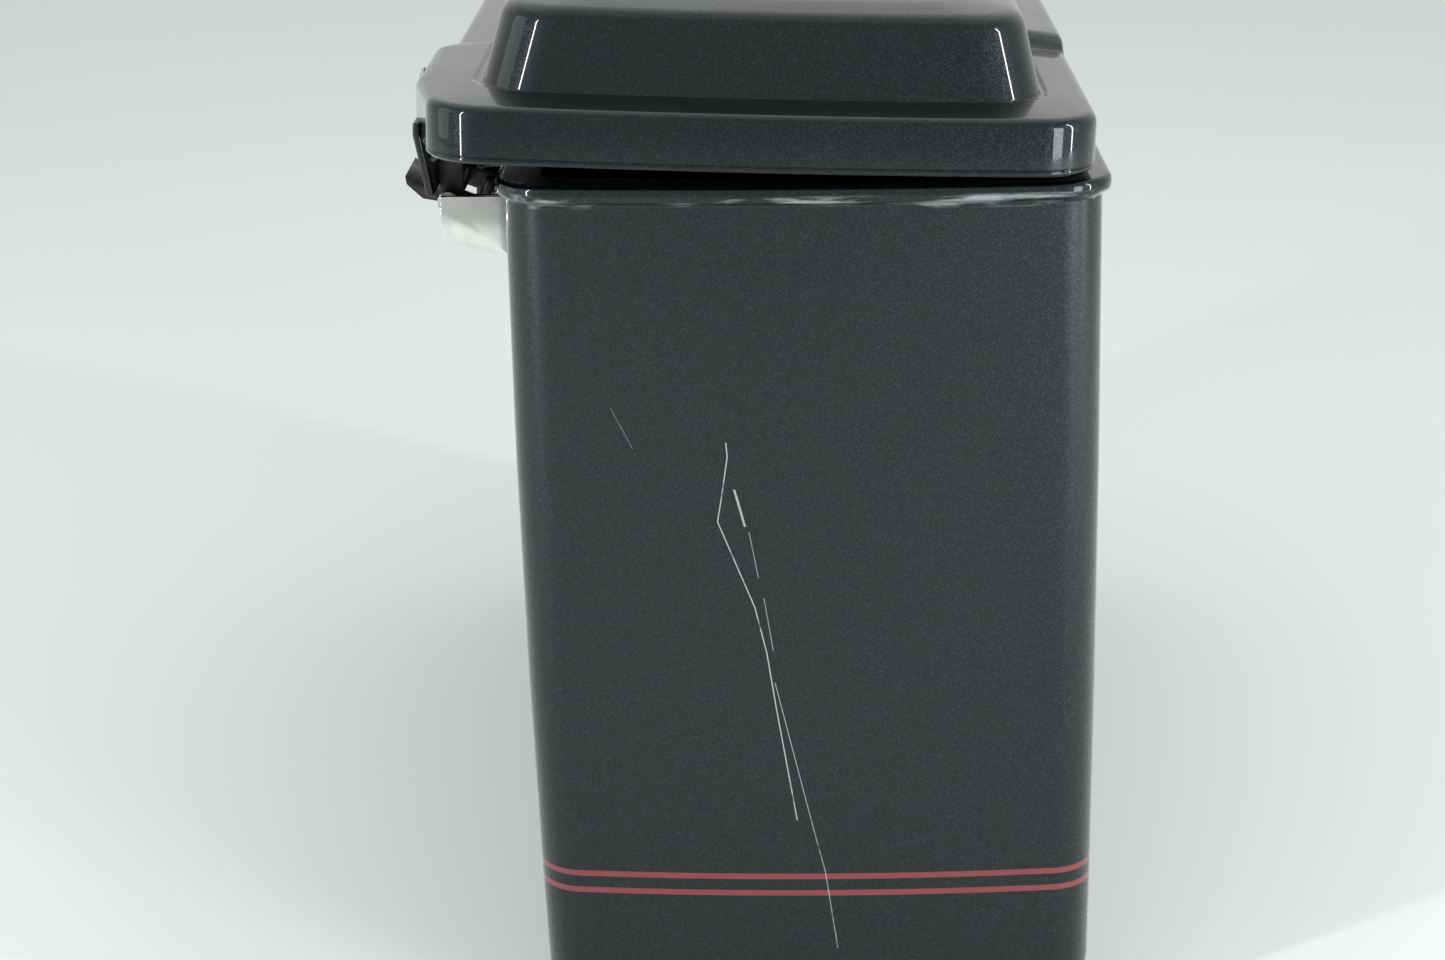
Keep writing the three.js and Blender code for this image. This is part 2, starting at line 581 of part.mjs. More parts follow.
// A hinge arm: two eyes joined by a flat bar, from the anchor pin to the hinge pin.
function hingeArm(side) {
  const middle = LATCH_Y + side * ARM_OFFSET;
  const y0 = middle - ARM_THICKNESS / 2;
  const y1 = middle + ARM_THICKNESS / 2;
  const eyeA = barY(ARM_EYE, ANCHOR_PIN_X, y0, y1, ANCHOR_PIN_Z);
  const eyeB = barY(ARM_EYE, HINGE_PIN_X, y0, y1, HINGE_PIN_Z);
  const along = new THREE.Vector2(HINGE_PIN_X - ANCHOR_PIN_X, HINGE_PIN_Z - ANCHOR_PIN_Z).normalize();
  const across = new THREE.Vector2(-along.y, along.x).multiplyScalar(ARM_EYE * 0.8);
  const bar = alongY(
    [
      [ANCHOR_PIN_X + across.x, ANCHOR_PIN_Z + across.y],
      [HINGE_PIN_X + across.x, HINGE_PIN_Z + across.y],
      [HINGE_PIN_X - across.x, HINGE_PIN_Z - across.y],
      [ANCHOR_PIN_X - across.x, ANCHOR_PIN_Z - across.y],
    ],
    y0,
    y1,
  );
  const bore = PIN_RADIUS + PIN_CLEARANCE;
  const bores = [
    barY(bore, ANCHOR_PIN_X, y0 - 1, y1 + 1, ANCHOR_PIN_Z),
    barY(bore, HINGE_PIN_X, y0 - 1, y1 + 1, HINGE_PIN_Z),
  ];
  return cut(join(eyeA, eyeB, bar), ...bores);
}

// A headed pin along Y.
function pin(x, z, half) {
  const shank = barY(PIN_RADIUS, x, LATCH_Y - half, LATCH_Y + half, z);
  const head = barY(PIN_RADIUS + 1.6, x, LATCH_Y - half - 2, LATCH_Y - half + 0.01, z);
  return join(shank, head);
}

const HOUSING_BACK = TONGUE_INNER_X + GAP;
const HOUSING_SHEET = 2;
const HOUSING_HALF = TONGUE_HALF - TONGUE_WALL - 1;

// The lid's half of the hinge: a plate inside the tongue, which the lock parts in two, and two ears that reach
// down to the hinge pin, tied by a bar below the lock.
function latchHousing() {
  const front = HOUSING_BACK + HOUSING_SHEET;
  const plate = box(
    [HOUSING_BACK, LATCH_Y - HOUSING_HALF, HOUSING_LOW],
    [front, LATCH_Y + HOUSING_HALF, HOUSING_HIGH],
  );
  const behindWall = TONGUE_INNER_X + TONGUE_LEAN + 0.5;
  const earOutline = [
    [HOUSING_BACK, HOUSING_HIGH],
    [HOUSING_BACK, HOUSING_LOW],
    [behindWall, HOUSING_LOW - 1],
    [behindWall, TONGUE_BOTTOM],
    [HINGE_PIN_X - 2, HINGE_PIN_Z + 4],
    [HINGE_PIN_X - 4.3, HINGE_PIN_Z],
    [HINGE_PIN_X - 2, HINGE_PIN_Z - 4],
    [HINGE_PIN_X + 3, HINGE_PIN_Z - 4.4],
    [HINGE_PIN_X + 5.5, HINGE_PIN_Z + 1],
    [HINGE_PIN_X + 5.5, HOUSING_HIGH],
  ];
  const bar = box(
    [behindWall, LATCH_Y - LID_EAR_OFFSET, CREASE_Z - 13],
    [behindWall + 2.2, LATCH_Y + LID_EAR_OFFSET, CREASE_Z - 5],
  );
  const bore = PIN_RADIUS + PIN_CLEARANCE;
  const ears = [-1, 1].map((side) => {
    const middle = LATCH_Y + side * LID_EAR_OFFSET;
    const ear = alongY(earOutline, middle - EAR_THICKNESS / 2, middle + EAR_THICKNESS / 2);
    return cut(ear, barY(bore, HINGE_PIN_X, middle - EAR_THICKNESS, middle + EAR_THICKNESS, HINGE_PIN_Z));
  });
  const lockHole = barX(LOCK_RADIUS + 1, HOUSING_BACK - 1, front + 1, LATCH_Y, LID_BASE + LOCK_RISE);
  const holes = HOUSING_SCREW_Y.map((y) =>
    barX(SCREW_HOLE, HOUSING_BACK - 1, front + 1, LATCH_Y + y, HOUSING_SCREW_Z, 12),
  );
  return cut(join(plate, bar, ...ears), lockHole, ...holes);
}

// The latch lever, drawn pulled: a barrel on the hinge pin and a finger lip that passes under the tongue's foot.
function latchLever() {
  const y0 = LATCH_Y - LEVER_HALF;
  const y1 = LATCH_Y + LEVER_HALF;
  const barrel = barY(LEVER_BARREL, HINGE_PIN_X, y0, y1, HINGE_PIN_Z, 24);
  const lip = [
    [-1, -LEVER_BARREL + 0.3],
    [-LEVER_LIP + 7, -2.4],
    [-LEVER_LIP + 0.6, 3.2],
    [-LEVER_LIP, 6.6],
    [-LEVER_LIP + 6, 3.4],
    [-6, 1.2],
    [-1, LEVER_BARREL - 0.8],
  ];
  const blade = alongY(lip.map(([x, z]) => [HINGE_PIN_X + x, HINGE_PIN_Z + z]).reverse(), y0, y1);
  return cut(join(barrel, blade), barY(PIN_RADIUS + PIN_CLEARANCE, HINGE_PIN_X, y0 - 1, y1 + 1, HINGE_PIN_Z, 24));
}

function lockCylinder() {
  const face = TONGUE_FACE_X - 2.2;
  const body = barX(LOCK_RADIUS - GAP, face, TONGUE_INNER_X + 9, LATCH_Y, LID_BASE + LOCK_RISE, 24);
  const z = LID_BASE + LOCK_RISE;
  const keySlot = box([face - 1, LATCH_Y - 0.7, z - 3.6], [face + 1.6, LATCH_Y + 0.7, z + 3.6]);
  const tailX = TONGUE_INNER_X + 8.9;
  const tail = box([tailX, LATCH_Y - 3, z - 5], [tailX + 2, LATCH_Y + 3, z + 10 - LOCK_RADIUS]);
  return cut(join(body, tail), keySlot);
}

function lockBezel() {
  const x = TONGUE_FACE_X;
  return ringX(
    [
      [x + TONGUE_WALL - 0.4, LOCK_RADIUS],
      [x + TONGUE_WALL - 0.4, LOCK_RADIUS + 2],
      [x - GAP, LOCK_RADIUS + 2],
      [x - GAP, LOCK_RADIUS + 4],
      [x - 1.4, LOCK_RADIUS + 3.6],
      [x - 2.2, LOCK_RADIUS + 0.8],
      [x - 2.2, LOCK_RADIUS],
    ],
    LATCH_Y,
    LID_BASE + LOCK_RISE,
  );
}

// One quarter-turn stud and what it carries, at a place along the inboard wall.
function addStud(name, y) {
  const wallOut = inboardAt(STUD_Z) + GAP;
  const wallIn = inboardAt(STUD_Z) - BAG_WALL - GAP;
  const hole = STUD_RADIUS + 0.5;
  const clipX = wallOut + CLIP_SEAT + GAP;
  const clipRadius = STUD_RADIUS + 4;
  const grommet = ringX(
    [
      [wallOut + CLIP_SEAT, hole],
      [wallOut + CLIP_SEAT, clipRadius + GAP],
      [wallOut + 3.2, clipRadius + GAP],
      [wallOut + 3.2, 14],
      [wallOut + 0.2, 15],
      [wallOut + 0.2, GROMMET_SLEEVE],
      [wallIn - 0.2, GROMMET_SLEEVE],
      [wallIn - 0.2, 12.5],
      [wallIn - 2.6, 12.5],
      [wallIn - 2.6, hole],
    ],
    y,
    STUD_Z,
  );
  add(fixedPieces, `${name}_stud_grommet`, grommet, rubber());
  const washerX = wallIn - 2.6 - GAP;
  const washer = ringX(
    [
      [washerX, hole],
      [washerX, 14],
      [washerX - 1.5, 14],
      [washerX - 1.5, hole],
    ],
    y,
    STUD_Z,
  );
  add(fixedPieces, `${name}_stud_washer`, washer, zincSteel());
  const headFace = washerX - 1.5 - GAP;
  const head = barX(13, headFace - 4, headFace, y, STUD_Z, 24);
  const shaft = barX(STUD_RADIUS, headFace - 1, wallOut + STUD_REACH, y, STUD_Z);
  const lobes = box(
    [wallOut + STUD_REACH - 5, y - 9, STUD_Z - 2.2],
    [wallOut + STUD_REACH - 1.5, y + 9, STUD_Z + 2.2],
  );
  const earX = headFace - 4 - 5;
  const ears = [-1, 1].map((side) => {
    const middle = y + side * 8;
    const ear = box([earX - 2.2, middle - 1.2, STUD_Z - 3], [headFace - 3.9, middle + 1.2, STUD_Z + 3]);
    return cut(ear, barY(BAIL_WIRE + 0.4, earX + 1.2, middle - 2, middle + 2, STUD_Z, 12));
  });
  add(fixedPieces, `${name}_mounting_stud`, join(head, shaft, lobes, ...ears), zincSteel());
  add(fixedPieces, `${name}_bail_wire`, bailWire(earX + 1.2, y), zincSteel());
  const clip = ringX(
    [
      [clipX, STUD_RADIUS + 0.25],
      [clipX, clipRadius],
      [clipX + 1.3, clipRadius],
      [clipX + 1.3, STUD_RADIUS + 0.25],
    ],
    y,
    STUD_Z,
  );
  add(fixedPieces, `${name}_stud_clip`, clip, zincSteel());
}

// The wire loop that turns a stud, folded flat against its head and hanging down.
function bailWire(x, y) {
  const path = new THREE.CurvePath();
  const at = (across, down) => new THREE.Vector3(x, y + across, STUD_Z - down);
  const bend = (from, corner, to) => new THREE.QuadraticBezierCurve3(from, corner, to);
  const turn = 3;
  path.add(new THREE.LineCurve3(at(-6, 0), at(-BAIL_WIDTH + turn, 0)));
  path.add(bend(at(-BAIL_WIDTH + turn, 0), at(-BAIL_WIDTH, 0), at(-BAIL_WIDTH, turn)));
  path.add(bend(at(-BAIL_WIDTH, turn), at(-BAIL_WIDTH, BAIL_DROP), at(0, BAIL_DROP)));
  path.add(bend(at(0, BAIL_DROP), at(BAIL_WIDTH, BAIL_DROP), at(BAIL_WIDTH, turn)));
  path.add(bend(at(BAIL_WIDTH, turn), at(BAIL_WIDTH, 0), at(BAIL_WIDTH - turn, 0)));
  path.add(new THREE.LineCurve3(at(BAIL_WIDTH - turn, 0), at(6, 0)));
  const section = new THREE.Shape().absarc(0, 0, BAIL_WIRE, 0, 2 * Math.PI);
  const geometry = new THREE.ExtrudeGeometry(section, { steps: 40, extrudePath: path, curveSegments: 4 });
  return solid(geometry);
}

// How far an end wall has bowed back in at x, from its furthest point in the middle.
function endBowAt(x) {
  const half = (INBOARD_X - OUTBOARD_X) / 2 - CORNER_RADIUS;
  return END_BOW * ((x - (INBOARD_X + OUTBOARD_X) / 2) / half) ** 2;
}

const CLIP_HALF = STRAP_WIDTH / 2 + 2;
const STRAP_BAG_Y = BAG_HALF_LENGTH - BAG_WALL - endBowAt(STRAP_X - CLIP_HALF) - 2 * GAP;
const STRAP_BAG_Z = BAG_HEIGHT - 34;
const STRAP_LID_Y = STRAP_BAG_Y - 40;

// The check strap, slack at rest: it hangs in a loop between its clip on the bag and its clip on the lid.
function checkStrap() {
  const half = STRAP_THICKNESS / 2;
  const bagY = STRAP_BAG_Y - 2.5;
  const lidY = STRAP_LID_Y;
  const top = LID_BASE - 6;
  const loopZ = top - STRAP_DROP;
  const radius = (bagY - lidY) / 2;
  const path = [];
  path.push([bagY, STRAP_BAG_Z - 8]);
  const LOOP_STEPS = 10;
  for (let i = 0; i <= LOOP_STEPS; i++) {
    const angle = -(i / LOOP_STEPS) * Math.PI;
    path.push([bagY - radius + radius * Math.cos(angle), loopZ + radius + radius * Math.sin(angle)]);
  }
  path.push([lidY, top]);
  const side = (offset) =>
    path.map(([y, z], i) => {
      const before = path[Math.max(i - 1, 0)];
      const after = path[Math.min(i + 1, path.length - 1)];
      const run = new THREE.Vector2(after[0] - before[0], after[1] - before[1]).normalize();
      return [y - run.y * offset, z + run.x * offset];
    });
  const outline = [...side(half), ...side(-half).reverse()];
  return alongX(outline, STRAP_X - STRAP_WIDTH / 2, STRAP_X + STRAP_WIDTH / 2);
}

// The plate that holds the strap's end to the bag's front end wall.
function strapClipBag() {
  const low = [STRAP_X - CLIP_HALF, STRAP_BAG_Y - 1.6, STRAP_BAG_Z - 7];
  return box(low, [STRAP_X + CLIP_HALF, STRAP_BAG_Y, STRAP_BAG_Z + 9]);
}

// The plate that holds its other end under the lid's panel.
function strapClipLid() {
  const high = [STRAP_X + CLIP_HALF, STRAP_LID_Y + 8, PANEL_Z - GAP];
  return box([STRAP_X - CLIP_HALF, STRAP_LID_Y - 8, high[2] - 2], high);
}

// ---- Assembly ----

add(fixedPieces, "bag_shell", bagShell(), paint());
add(fixedPieces, "face_plate", facePlate(), polishedSteel());
add(fixedPieces, "hinge_bracket", hingeBracket(), zincSteel());
const backing = cut(
  box(
    [WALL_IN + GAP, LATCH_Y - FACE_PLATE_HALF + 2, FACE_PLATE_BOTTOM],
    [WALL_IN + GAP + 2, LATCH_Y + FACE_PLATE_HALF - 2, FACE_PLATE_TOP],
  ),
  ...BRACKET_SCREWS.map(([y, z]) => barX(SCREW_HOLE, WALL_IN - 1, WALL_IN + 4, y, z, 12)),
  ...PLATE_SCREWS.map((y) => barX(SCREW_HOLE, WALL_IN - 1, WALL_IN + 4, y, PLATE_SCREW_Z, 12)),
);
add(fixedPieces, "backing_plate", backing, zincSteel());
BRACKET_SCREWS.forEach(([y, z], i) => {
  const x = BRACKET_BACK - BRACKET_SHEET - GAP;
  add(fixedPieces, `bracket_screw_${i + 1}`, screwX(x, y, z, 1, 12), zincSteel());
});
PLATE_SCREWS.forEach((y, i) => {
  const x = WALL_OUT - GAP - FACE_PLATE_SHEET - GAP;
  add(fixedPieces, `face_plate_screw_${i + 1}`, screwX(x, y, PLATE_SCREW_Z, 1, 10), zincSteel());
});
STUD_PLACES.forEach(([name, y]) => addStud(name, y));
add(fixedPieces, "check_strap", checkStrap(), webbing());
add(fixedPieces, "bag_strap_clip", strapClipBag(), blackPlastic());

add(drawnPieces, "anchor_pin", pin(ANCHOR_PIN_X, ANCHOR_PIN_Z, BRACKET_EAR_OFFSET + EAR_THICKNESS), zincSteel());
add(drawnPieces, "rear_hinge_arm", hingeArm(-1), darkCasting());
add(drawnPieces, "front_hinge_arm", hingeArm(1), darkCasting());

add(lidPieces, "lid_shell", lidShell(), paint());
add(lidPieces, "lid_inner_panel", lidPanel(), blackPlastic());
add(lidPieces, "lid_seal", lidSeal(BAG_HEIGHT + 0.5, PANEL_Z - GAP), rubber());
add(lidPieces, "latch_housing", latchHousing(), darkCasting());
add(lidPieces, "hinge_pin", pin(HINGE_PIN_X, HINGE_PIN_Z, LID_EAR_OFFSET + EAR_THICKNESS), zincSteel());
HOUSING_SCREW_Y.forEach((y, i) => {
  const x = HOUSING_BACK + HOUSING_SHEET + GAP;
  add(lidPieces, `housing_screw_${i + 1}`, screwX(x, LATCH_Y + y, HOUSING_SCREW_Z, -1, 2.2), zincSteel());
});
PANEL_SCREWS.forEach(([x, y], i) => {
  add(lidPieces, `panel_screw_${i + 1}`, screwZ(x, y, PANEL_Z - GAP, 11), zincSteel());
});
add(lidPieces, "lock_bezel", lockBezel(), polishedSteel());
add(lidPieces, "lock_cylinder", lockCylinder(), zincSteel());
add(lidPieces, "lid_strap_clip", strapClipLid(), blackPlastic());
add(lidPieces, "latch_lever", latchLever(), darkCasting());

// A group turned about a line along Y through (x, z); a positive angle lowers its outboard side.
function turnAboutY(group, x, z, angle) {
  const holder = new THREE.Group();
  holder.position.set(x, 0, z);
  holder.rotation.y = -angle;
  group.position.set(-x, 0, -z);
  holder.add(group);
  return holder;
}

const tipped = new THREE.Group();
tipped.add(drawnPieces, lidPieces);

const saddlebag = new THREE.Group();
saddlebag.add(fixedPieces, turnAboutY(tipped, TILT_X, TILT_Z, -TILT));

// The origin is the middle of the whole object's base.
saddlebag.updateMatrixWorld(true);
const bounds = new THREE.Box3().setFromObject(saddlebag, true);
const centre = bounds.getCenter(new THREE.Vector3());
saddlebag.position.set(-centre.x, -centre.y, -bounds.min.z);
saddlebag.updateMatrixWorld(true);

export default saddlebag;
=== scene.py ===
"""Builds the looks of a touring motorcycle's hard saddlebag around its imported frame.

Lengths are in millimetres in the dataclasses and become metres in the meshes. +X is inboard, +Y runs
towards the motorcycle's front and +Z is up. The lid's pieces are drawn closed and then tipped with LidPose,
as the frame's are.
"""

import logging
import math
from dataclasses import dataclass
from enum import Enum
from typing import Any, Sequence

import bmesh
import bpy
from mathutils import Matrix, Vector


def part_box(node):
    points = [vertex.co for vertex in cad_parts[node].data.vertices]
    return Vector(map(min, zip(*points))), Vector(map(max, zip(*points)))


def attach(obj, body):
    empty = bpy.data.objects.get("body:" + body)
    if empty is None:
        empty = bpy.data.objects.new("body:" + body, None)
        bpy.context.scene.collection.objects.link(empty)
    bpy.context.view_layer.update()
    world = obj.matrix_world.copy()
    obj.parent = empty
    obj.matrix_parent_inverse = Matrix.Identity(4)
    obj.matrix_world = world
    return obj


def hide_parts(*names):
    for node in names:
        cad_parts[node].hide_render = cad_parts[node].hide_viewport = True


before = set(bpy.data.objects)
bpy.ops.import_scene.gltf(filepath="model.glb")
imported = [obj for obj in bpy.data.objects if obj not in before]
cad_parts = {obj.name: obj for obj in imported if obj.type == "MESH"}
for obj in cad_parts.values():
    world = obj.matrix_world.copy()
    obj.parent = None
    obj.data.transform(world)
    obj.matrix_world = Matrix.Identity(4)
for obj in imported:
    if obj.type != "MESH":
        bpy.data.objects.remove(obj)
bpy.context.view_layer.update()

log = logging.getLogger("saddlebag")

Point2 = tuple[float, float]
Point3 = tuple[float, float, float]
MM = 0.001


class Body(str, Enum):
    """The frame's moving bodies that pieces ride on."""

    BAG = "bag"
    ANCHOR = "anchor"
    ARMS = "arms"
    LID = "lid"
    LEVER = "lever"
    LOCK = "lock"
    REAR_STUD = "rear_stud"
    FRONT_STUD = "front_stud"
    REAR_BAIL = "rear_bail"
    FRONT_BAIL = "front_bail"


class Slot(str, Enum):
    """The record's material slots."""

    PAINT = "body_paint"
    PLASTIC = "black_plastic"
    POLISHED = "polished_steel"
    ZINC = "zinc_steel"
    DARK = "dark_casting"
    RUBBER = "rubber"
    WEBBING = "webbing"


# ---- Materials ----


def linear(hex_code: str) -> tuple[float, float, float, float]:
    """Turns an sRGB hex colour into linear red, green, blue and alpha.

    Args:
        hex_code: Six hex digits, with or without a leading #.

    Returns:
        The linear colour with alpha 1.
    """
    digits = hex_code.lstrip("#")
    channels = [int(digits[i : i + 2], 16) / 255 for i in (0, 2, 4)]
    straight = [c / 12.92 if c <= 0.04045 else ((c + 0.055) / 1.055) ** 2.4 for c in channels]
    return (straight[0], straight[1], straight[2], 1.0)


def per_metre(size_mm: float) -> float:
    """Gives a texture's scale for a feature of this size, as textures count features per metre."""
    return 1000.0 / size_mm


def add_node(
    tree: bpy.types.NodeTree, kind: str, inputs: dict[Any, Any] | None = None, **settings: Any
) -> Any:
    """Adds one node, sets its properties, and sets or links its inputs.

    Args:
        tree: The node tree that it goes in.
        kind: The node's type name.
        inputs: Input name or index to a value, or to another node's output socket.
        **settings: Properties of the node itself.

    Returns:
        The new node.
    """
    node = tree.nodes.new(kind)
    for name, value in settings.items():
        setattr(node, name, value)
    for name, value in (inputs or {}).items():
        if isinstance(value, bpy.types.NodeSocket):
            tree.links.new(value, node.inputs[name])
        else:
            node.inputs[name].default_value = value
    return node


@dataclass(frozen=True)
class Finish:
    """A surface finish: a named material with one Principled shader that `dress` completes."""

    name: str

    def material(self) -> bpy.types.Material:
        """Makes the material once and gives the same one afterwards.

        Returns:
            The material.
        """
        known = bpy.data.materials.get(self.name)
        if known:
            return known
        made = bpy.data.materials.new(self.name)
        made.use_nodes = True
        tree = made.node_tree
        tree.nodes.clear()
        shader = add_node(tree, "ShaderNodeBsdfPrincipled")
        output = add_node(tree, "ShaderNodeOutputMaterial")
        tree.links.new(shader.outputs["BSDF"], output.inputs["Surface"])
        place = add_node(tree, "ShaderNodeTexCoord").outputs["Object"]
        self.dress(tree, shader, place)
        return made

    def dress(self, tree: bpy.types.NodeTree, shader: Any, place: Any) -> None:
        """Sets the shader's sockets.

        Args:
            tree: The material's node tree.
            shader: Its Principled shader.
            place: The object coordinates.
        """
        raise NotImplementedError


def noise(
    tree: Any, place: Any, size_mm: float, detail: float = 2.0, stretch: Sequence[float] = (1, 1, 1)
) -> Any:
    """Adds a noise texture, stretched along each axis.

    Args:
        tree: The node tree.
        place: The coordinates that it reads.
        size_mm: About how wide its features are.
        detail: How many finer layers it has.
        stretch: How much longer its features are along X, Y and Z.

    Returns:
        Its value output.
    """
    mapped = add_node(tree, "ShaderNodeMapping", {"Vector": place, "Scale": tuple(1 / s for s in stretch)})
    values = {
        "Vector": mapped.outputs["Vector"],
        "Scale": per_metre(size_mm),
        "Detail": detail,
        "Roughness": 0.55,
    }
    return add_node(tree, "ShaderNodeTexNoise", values).outputs["Fac"]


def ramp(
    tree: Any, value: Any, low: float, high: float, out_low: float = 0.0, out_high: float = 1.0
) -> Any:
    """Maps a value from one range to another, clamped.

    Args:
        tree: The node tree.
        value: The value's output socket.
        low: The value that gives out_low.
        high: The value that gives out_high.
        out_low: The result at low.
        out_high: The result at high.

    Returns:
        The mapped output.
    """
    mapped = add_node(
        tree,
        "ShaderNodeMapRange",
        {"Value": value, "From Min": low, "From Max": high, "To Min": out_low, "To Max": out_high},
        clamp=True,
    )
    return mapped.outputs["Result"]


def maths(tree: Any, operation: str, first: Any, second: Any = 0.0, third: Any = 0.0) -> Any:
    """Adds a Math node.

    Args:
        tree: The node tree.
        operation: The node's operation.
        first: The first value or socket.
        second: The second value or socket.
        third: The third value or socket.

    Returns:
        Its output.
    """
    node = add_node(tree, "ShaderNodeMath", {0: first, 1: second, 2: third}, operation=operation)
    return node.outputs["Value"]


# A Mix node names its sockets alike for every data type, so its colour sockets are told apart by number.
MIX_FIRST_COLOUR = 6
MIX_SECOND_COLOUR = 7
MIX_RESULT = 2


def mixed(tree: Any, share: Any, first: Any, second: Any) -> Any:
    """Mixes two colours.

    Args:
        tree: The node tree.
        share: The share of the second colour, from 0 to 1.
        first: The first colour or socket.
        second: The second colour or socket.

    Returns:
        The colour output.
    """
    colours = {"Factor": share, MIX_FIRST_COLOUR: first, MIX_SECOND_COLOUR: second}
    return add_node(tree, "ShaderNodeMix", colours, data_type="RGBA").outputs[MIX_RESULT]


def bump(tree: Any, height: Any, depth_mm: float, strength: float = 1.0) -> Any:
    """Adds a bump of a real depth.

    Args:
        tree: The node tree.
        height: The height's output socket, from 0 to 1.
        depth_mm: The depth that a height of 1 stands for.
        strength: The bump's share, from 0 to 1.

    Returns:
        The normal output.
    """
    values = {"Height": height, "Distance": depth_mm * MM, "Strength": strength}
    return add_node(tree, "ShaderNodeBump", values).outputs["Normal"]


@dataclass(frozen=True)
class MetallicPaint(Finish):
    """Charcoal metallic basecoat under clearcoat, sprayed on moulded plastic.

    The eye gets a dark ground with fine silver sparkle, a broad soft sheen from the flakes and a sharp
    reflection from the clearcoat. Double pinstripes are painted under the coat, and the coat is scratched on
    the rear wall.
    """

    ground: str = "#0D1315"
    flake: str = "#47606A"
    stripe: str = "#74222B"
    scuff: str = "#B9C2C2"
    flake_mm: float = 0.45  # drawn coarser than real 0.05 mm flake, so that its sparkle shows
    dark_flakes: float = 0.6  # the share of flakes that don't sparkle
    sparkle: float = 0.2
    flake_tilt: float = 0.14
    roughness: Point2 = (0.34, 0.42)
    metallic: float = 0.9
    stripe_metallic: float = 0.15
    coat_roughness: float = 0.035
    coat_ior: float = 1.4
    stripe_heights: tuple[float, ...] = ()
    stripe_width: float = 2.4
    scratches: bool = False
    rub_foot: Point2 = (342.5, 344.5)  # heights over which the rubbed band under the rim fades in
    rub_top: Point2 = (347.5, 349.0)  # and out
    rear_wall: Point2 = (-272.0, -269.0)  # the Y over which the rear wall's marks fade out

    def dress(self, tree: bpy.types.NodeTree, shader: Any, place: Any) -> None:
        """Sets the shader's sockets.

        Args:
            tree: The material's node tree.
            shader: Its Principled shader.
            place: The object coordinates.
        """
        split = add_node(tree, "ShaderNodeSeparateXYZ", {"Vector": place}).outputs
        grid = {"Vector": place, "Scale": per_metre(self.flake_mm)}
        cells = add_node(tree, "ShaderNodeTexVoronoi", grid)
        channels = add_node(tree, "ShaderNodeSeparateColor", {"Color": cells.outputs["Color"]})
        sparkle = ramp(tree, channels.outputs["Red"], self.dark_flakes, 1.0, 0.0, self.sparkle)
        colour = mixed(tree, sparkle, linear(self.ground), linear(self.flake))
        cloud = noise(tree, place, 60, 3)
        roughness = ramp(tree, cloud, 0.3, 0.7, *self.roughness)
        metal: Any = self.metallic
        if self.stripe_heights:
            stripe = self.stripe_mask(tree, split["Z"])
            colour = mixed(tree, stripe, colour, linear(self.stripe))
            metal = ramp(tree, stripe, 0, 1, self.metallic, self.stripe_metallic)
        if self.scratches:
            marks = self.scratch_mask(tree, place, split)
            colour = mixed(tree, marks, colour, linear(self.scuff))
            metal = maths(tree, "MULTIPLY", metal, ramp(tree, marks, 0, 1, 1, 0.1))
        values = {"Base Color": colour, "Metallic": metal, "Roughness": roughness}
        for socket, value in values.items():
            if isinstance(value, bpy.types.NodeSocket):
                tree.links.new(value, shader.inputs[socket])
            else:
                shader.inputs[socket].default_value = value
        tree.links.new(self.flake_normal(tree, cells), shader.inputs["Normal"])
        shader.inputs["Coat Weight"].default_value = 1.0
        shader.inputs["Coat Roughness"].default_value = self.coat_roughness
        shader.inputs["Coat IOR"].default_value = self.coat_ior
        orange_peel = bump(tree, noise(tree, place, 4.5, 1), 0.004, 0.6)
        tree.links.new(orange_peel, shader.inputs["Coat Normal"])

    def flake_normal(self, tree: Any, cells: Any) -> Any:
        """Tips each flake's normal a little its own way.

        Args:
            tree: The material's node tree.
            cells: The flakes' cell texture.

        Returns:
            The normal output.
        """
        pair = {0: cells.outputs["Color"], 1: (0.5, 0.5, 0.5)}
        centred = add_node(tree, "ShaderNodeVectorMath", pair, operation="SUBTRACT")
        tilt = {0: centred.outputs[0], "Scale": self.flake_tilt}
        scaled = add_node(tree, "ShaderNodeVectorMath", tilt, operation="SCALE")
        surface = add_node(tree, "ShaderNodeNewGeometry").outputs["Normal"]
        added = add_node(tree, "ShaderNodeVectorMath", {0: surface, 1: scaled.outputs[0]}, operation="ADD")
        unit = add_node(tree, "ShaderNodeVectorMath", {0: added.outputs[0]}, operation="NORMALIZE")
        return unit.outputs[0]

    def stripe_mask(self, tree: Any, height: Any) -> Any:
        """Marks the pinstripes: thin level bands right round the bag.

        Args:
            tree: The material's node tree.
            height: The Z coordinate's output socket.

        Returns:
            1 on a stripe and 0 elsewhere.
        """
        total: Any = 0.0
        half = self.stripe_width * MM / 2
        soft = 0.15 * MM  # how far each edge fades
        for level in self.stripe_heights:
            away = maths(tree, "ABSOLUTE", maths(tree, "SUBTRACT", height, level * MM))
            total = maths(tree, "MAXIMUM", total, ramp(tree, away, half - soft, half + soft, 1, 0))
        return total

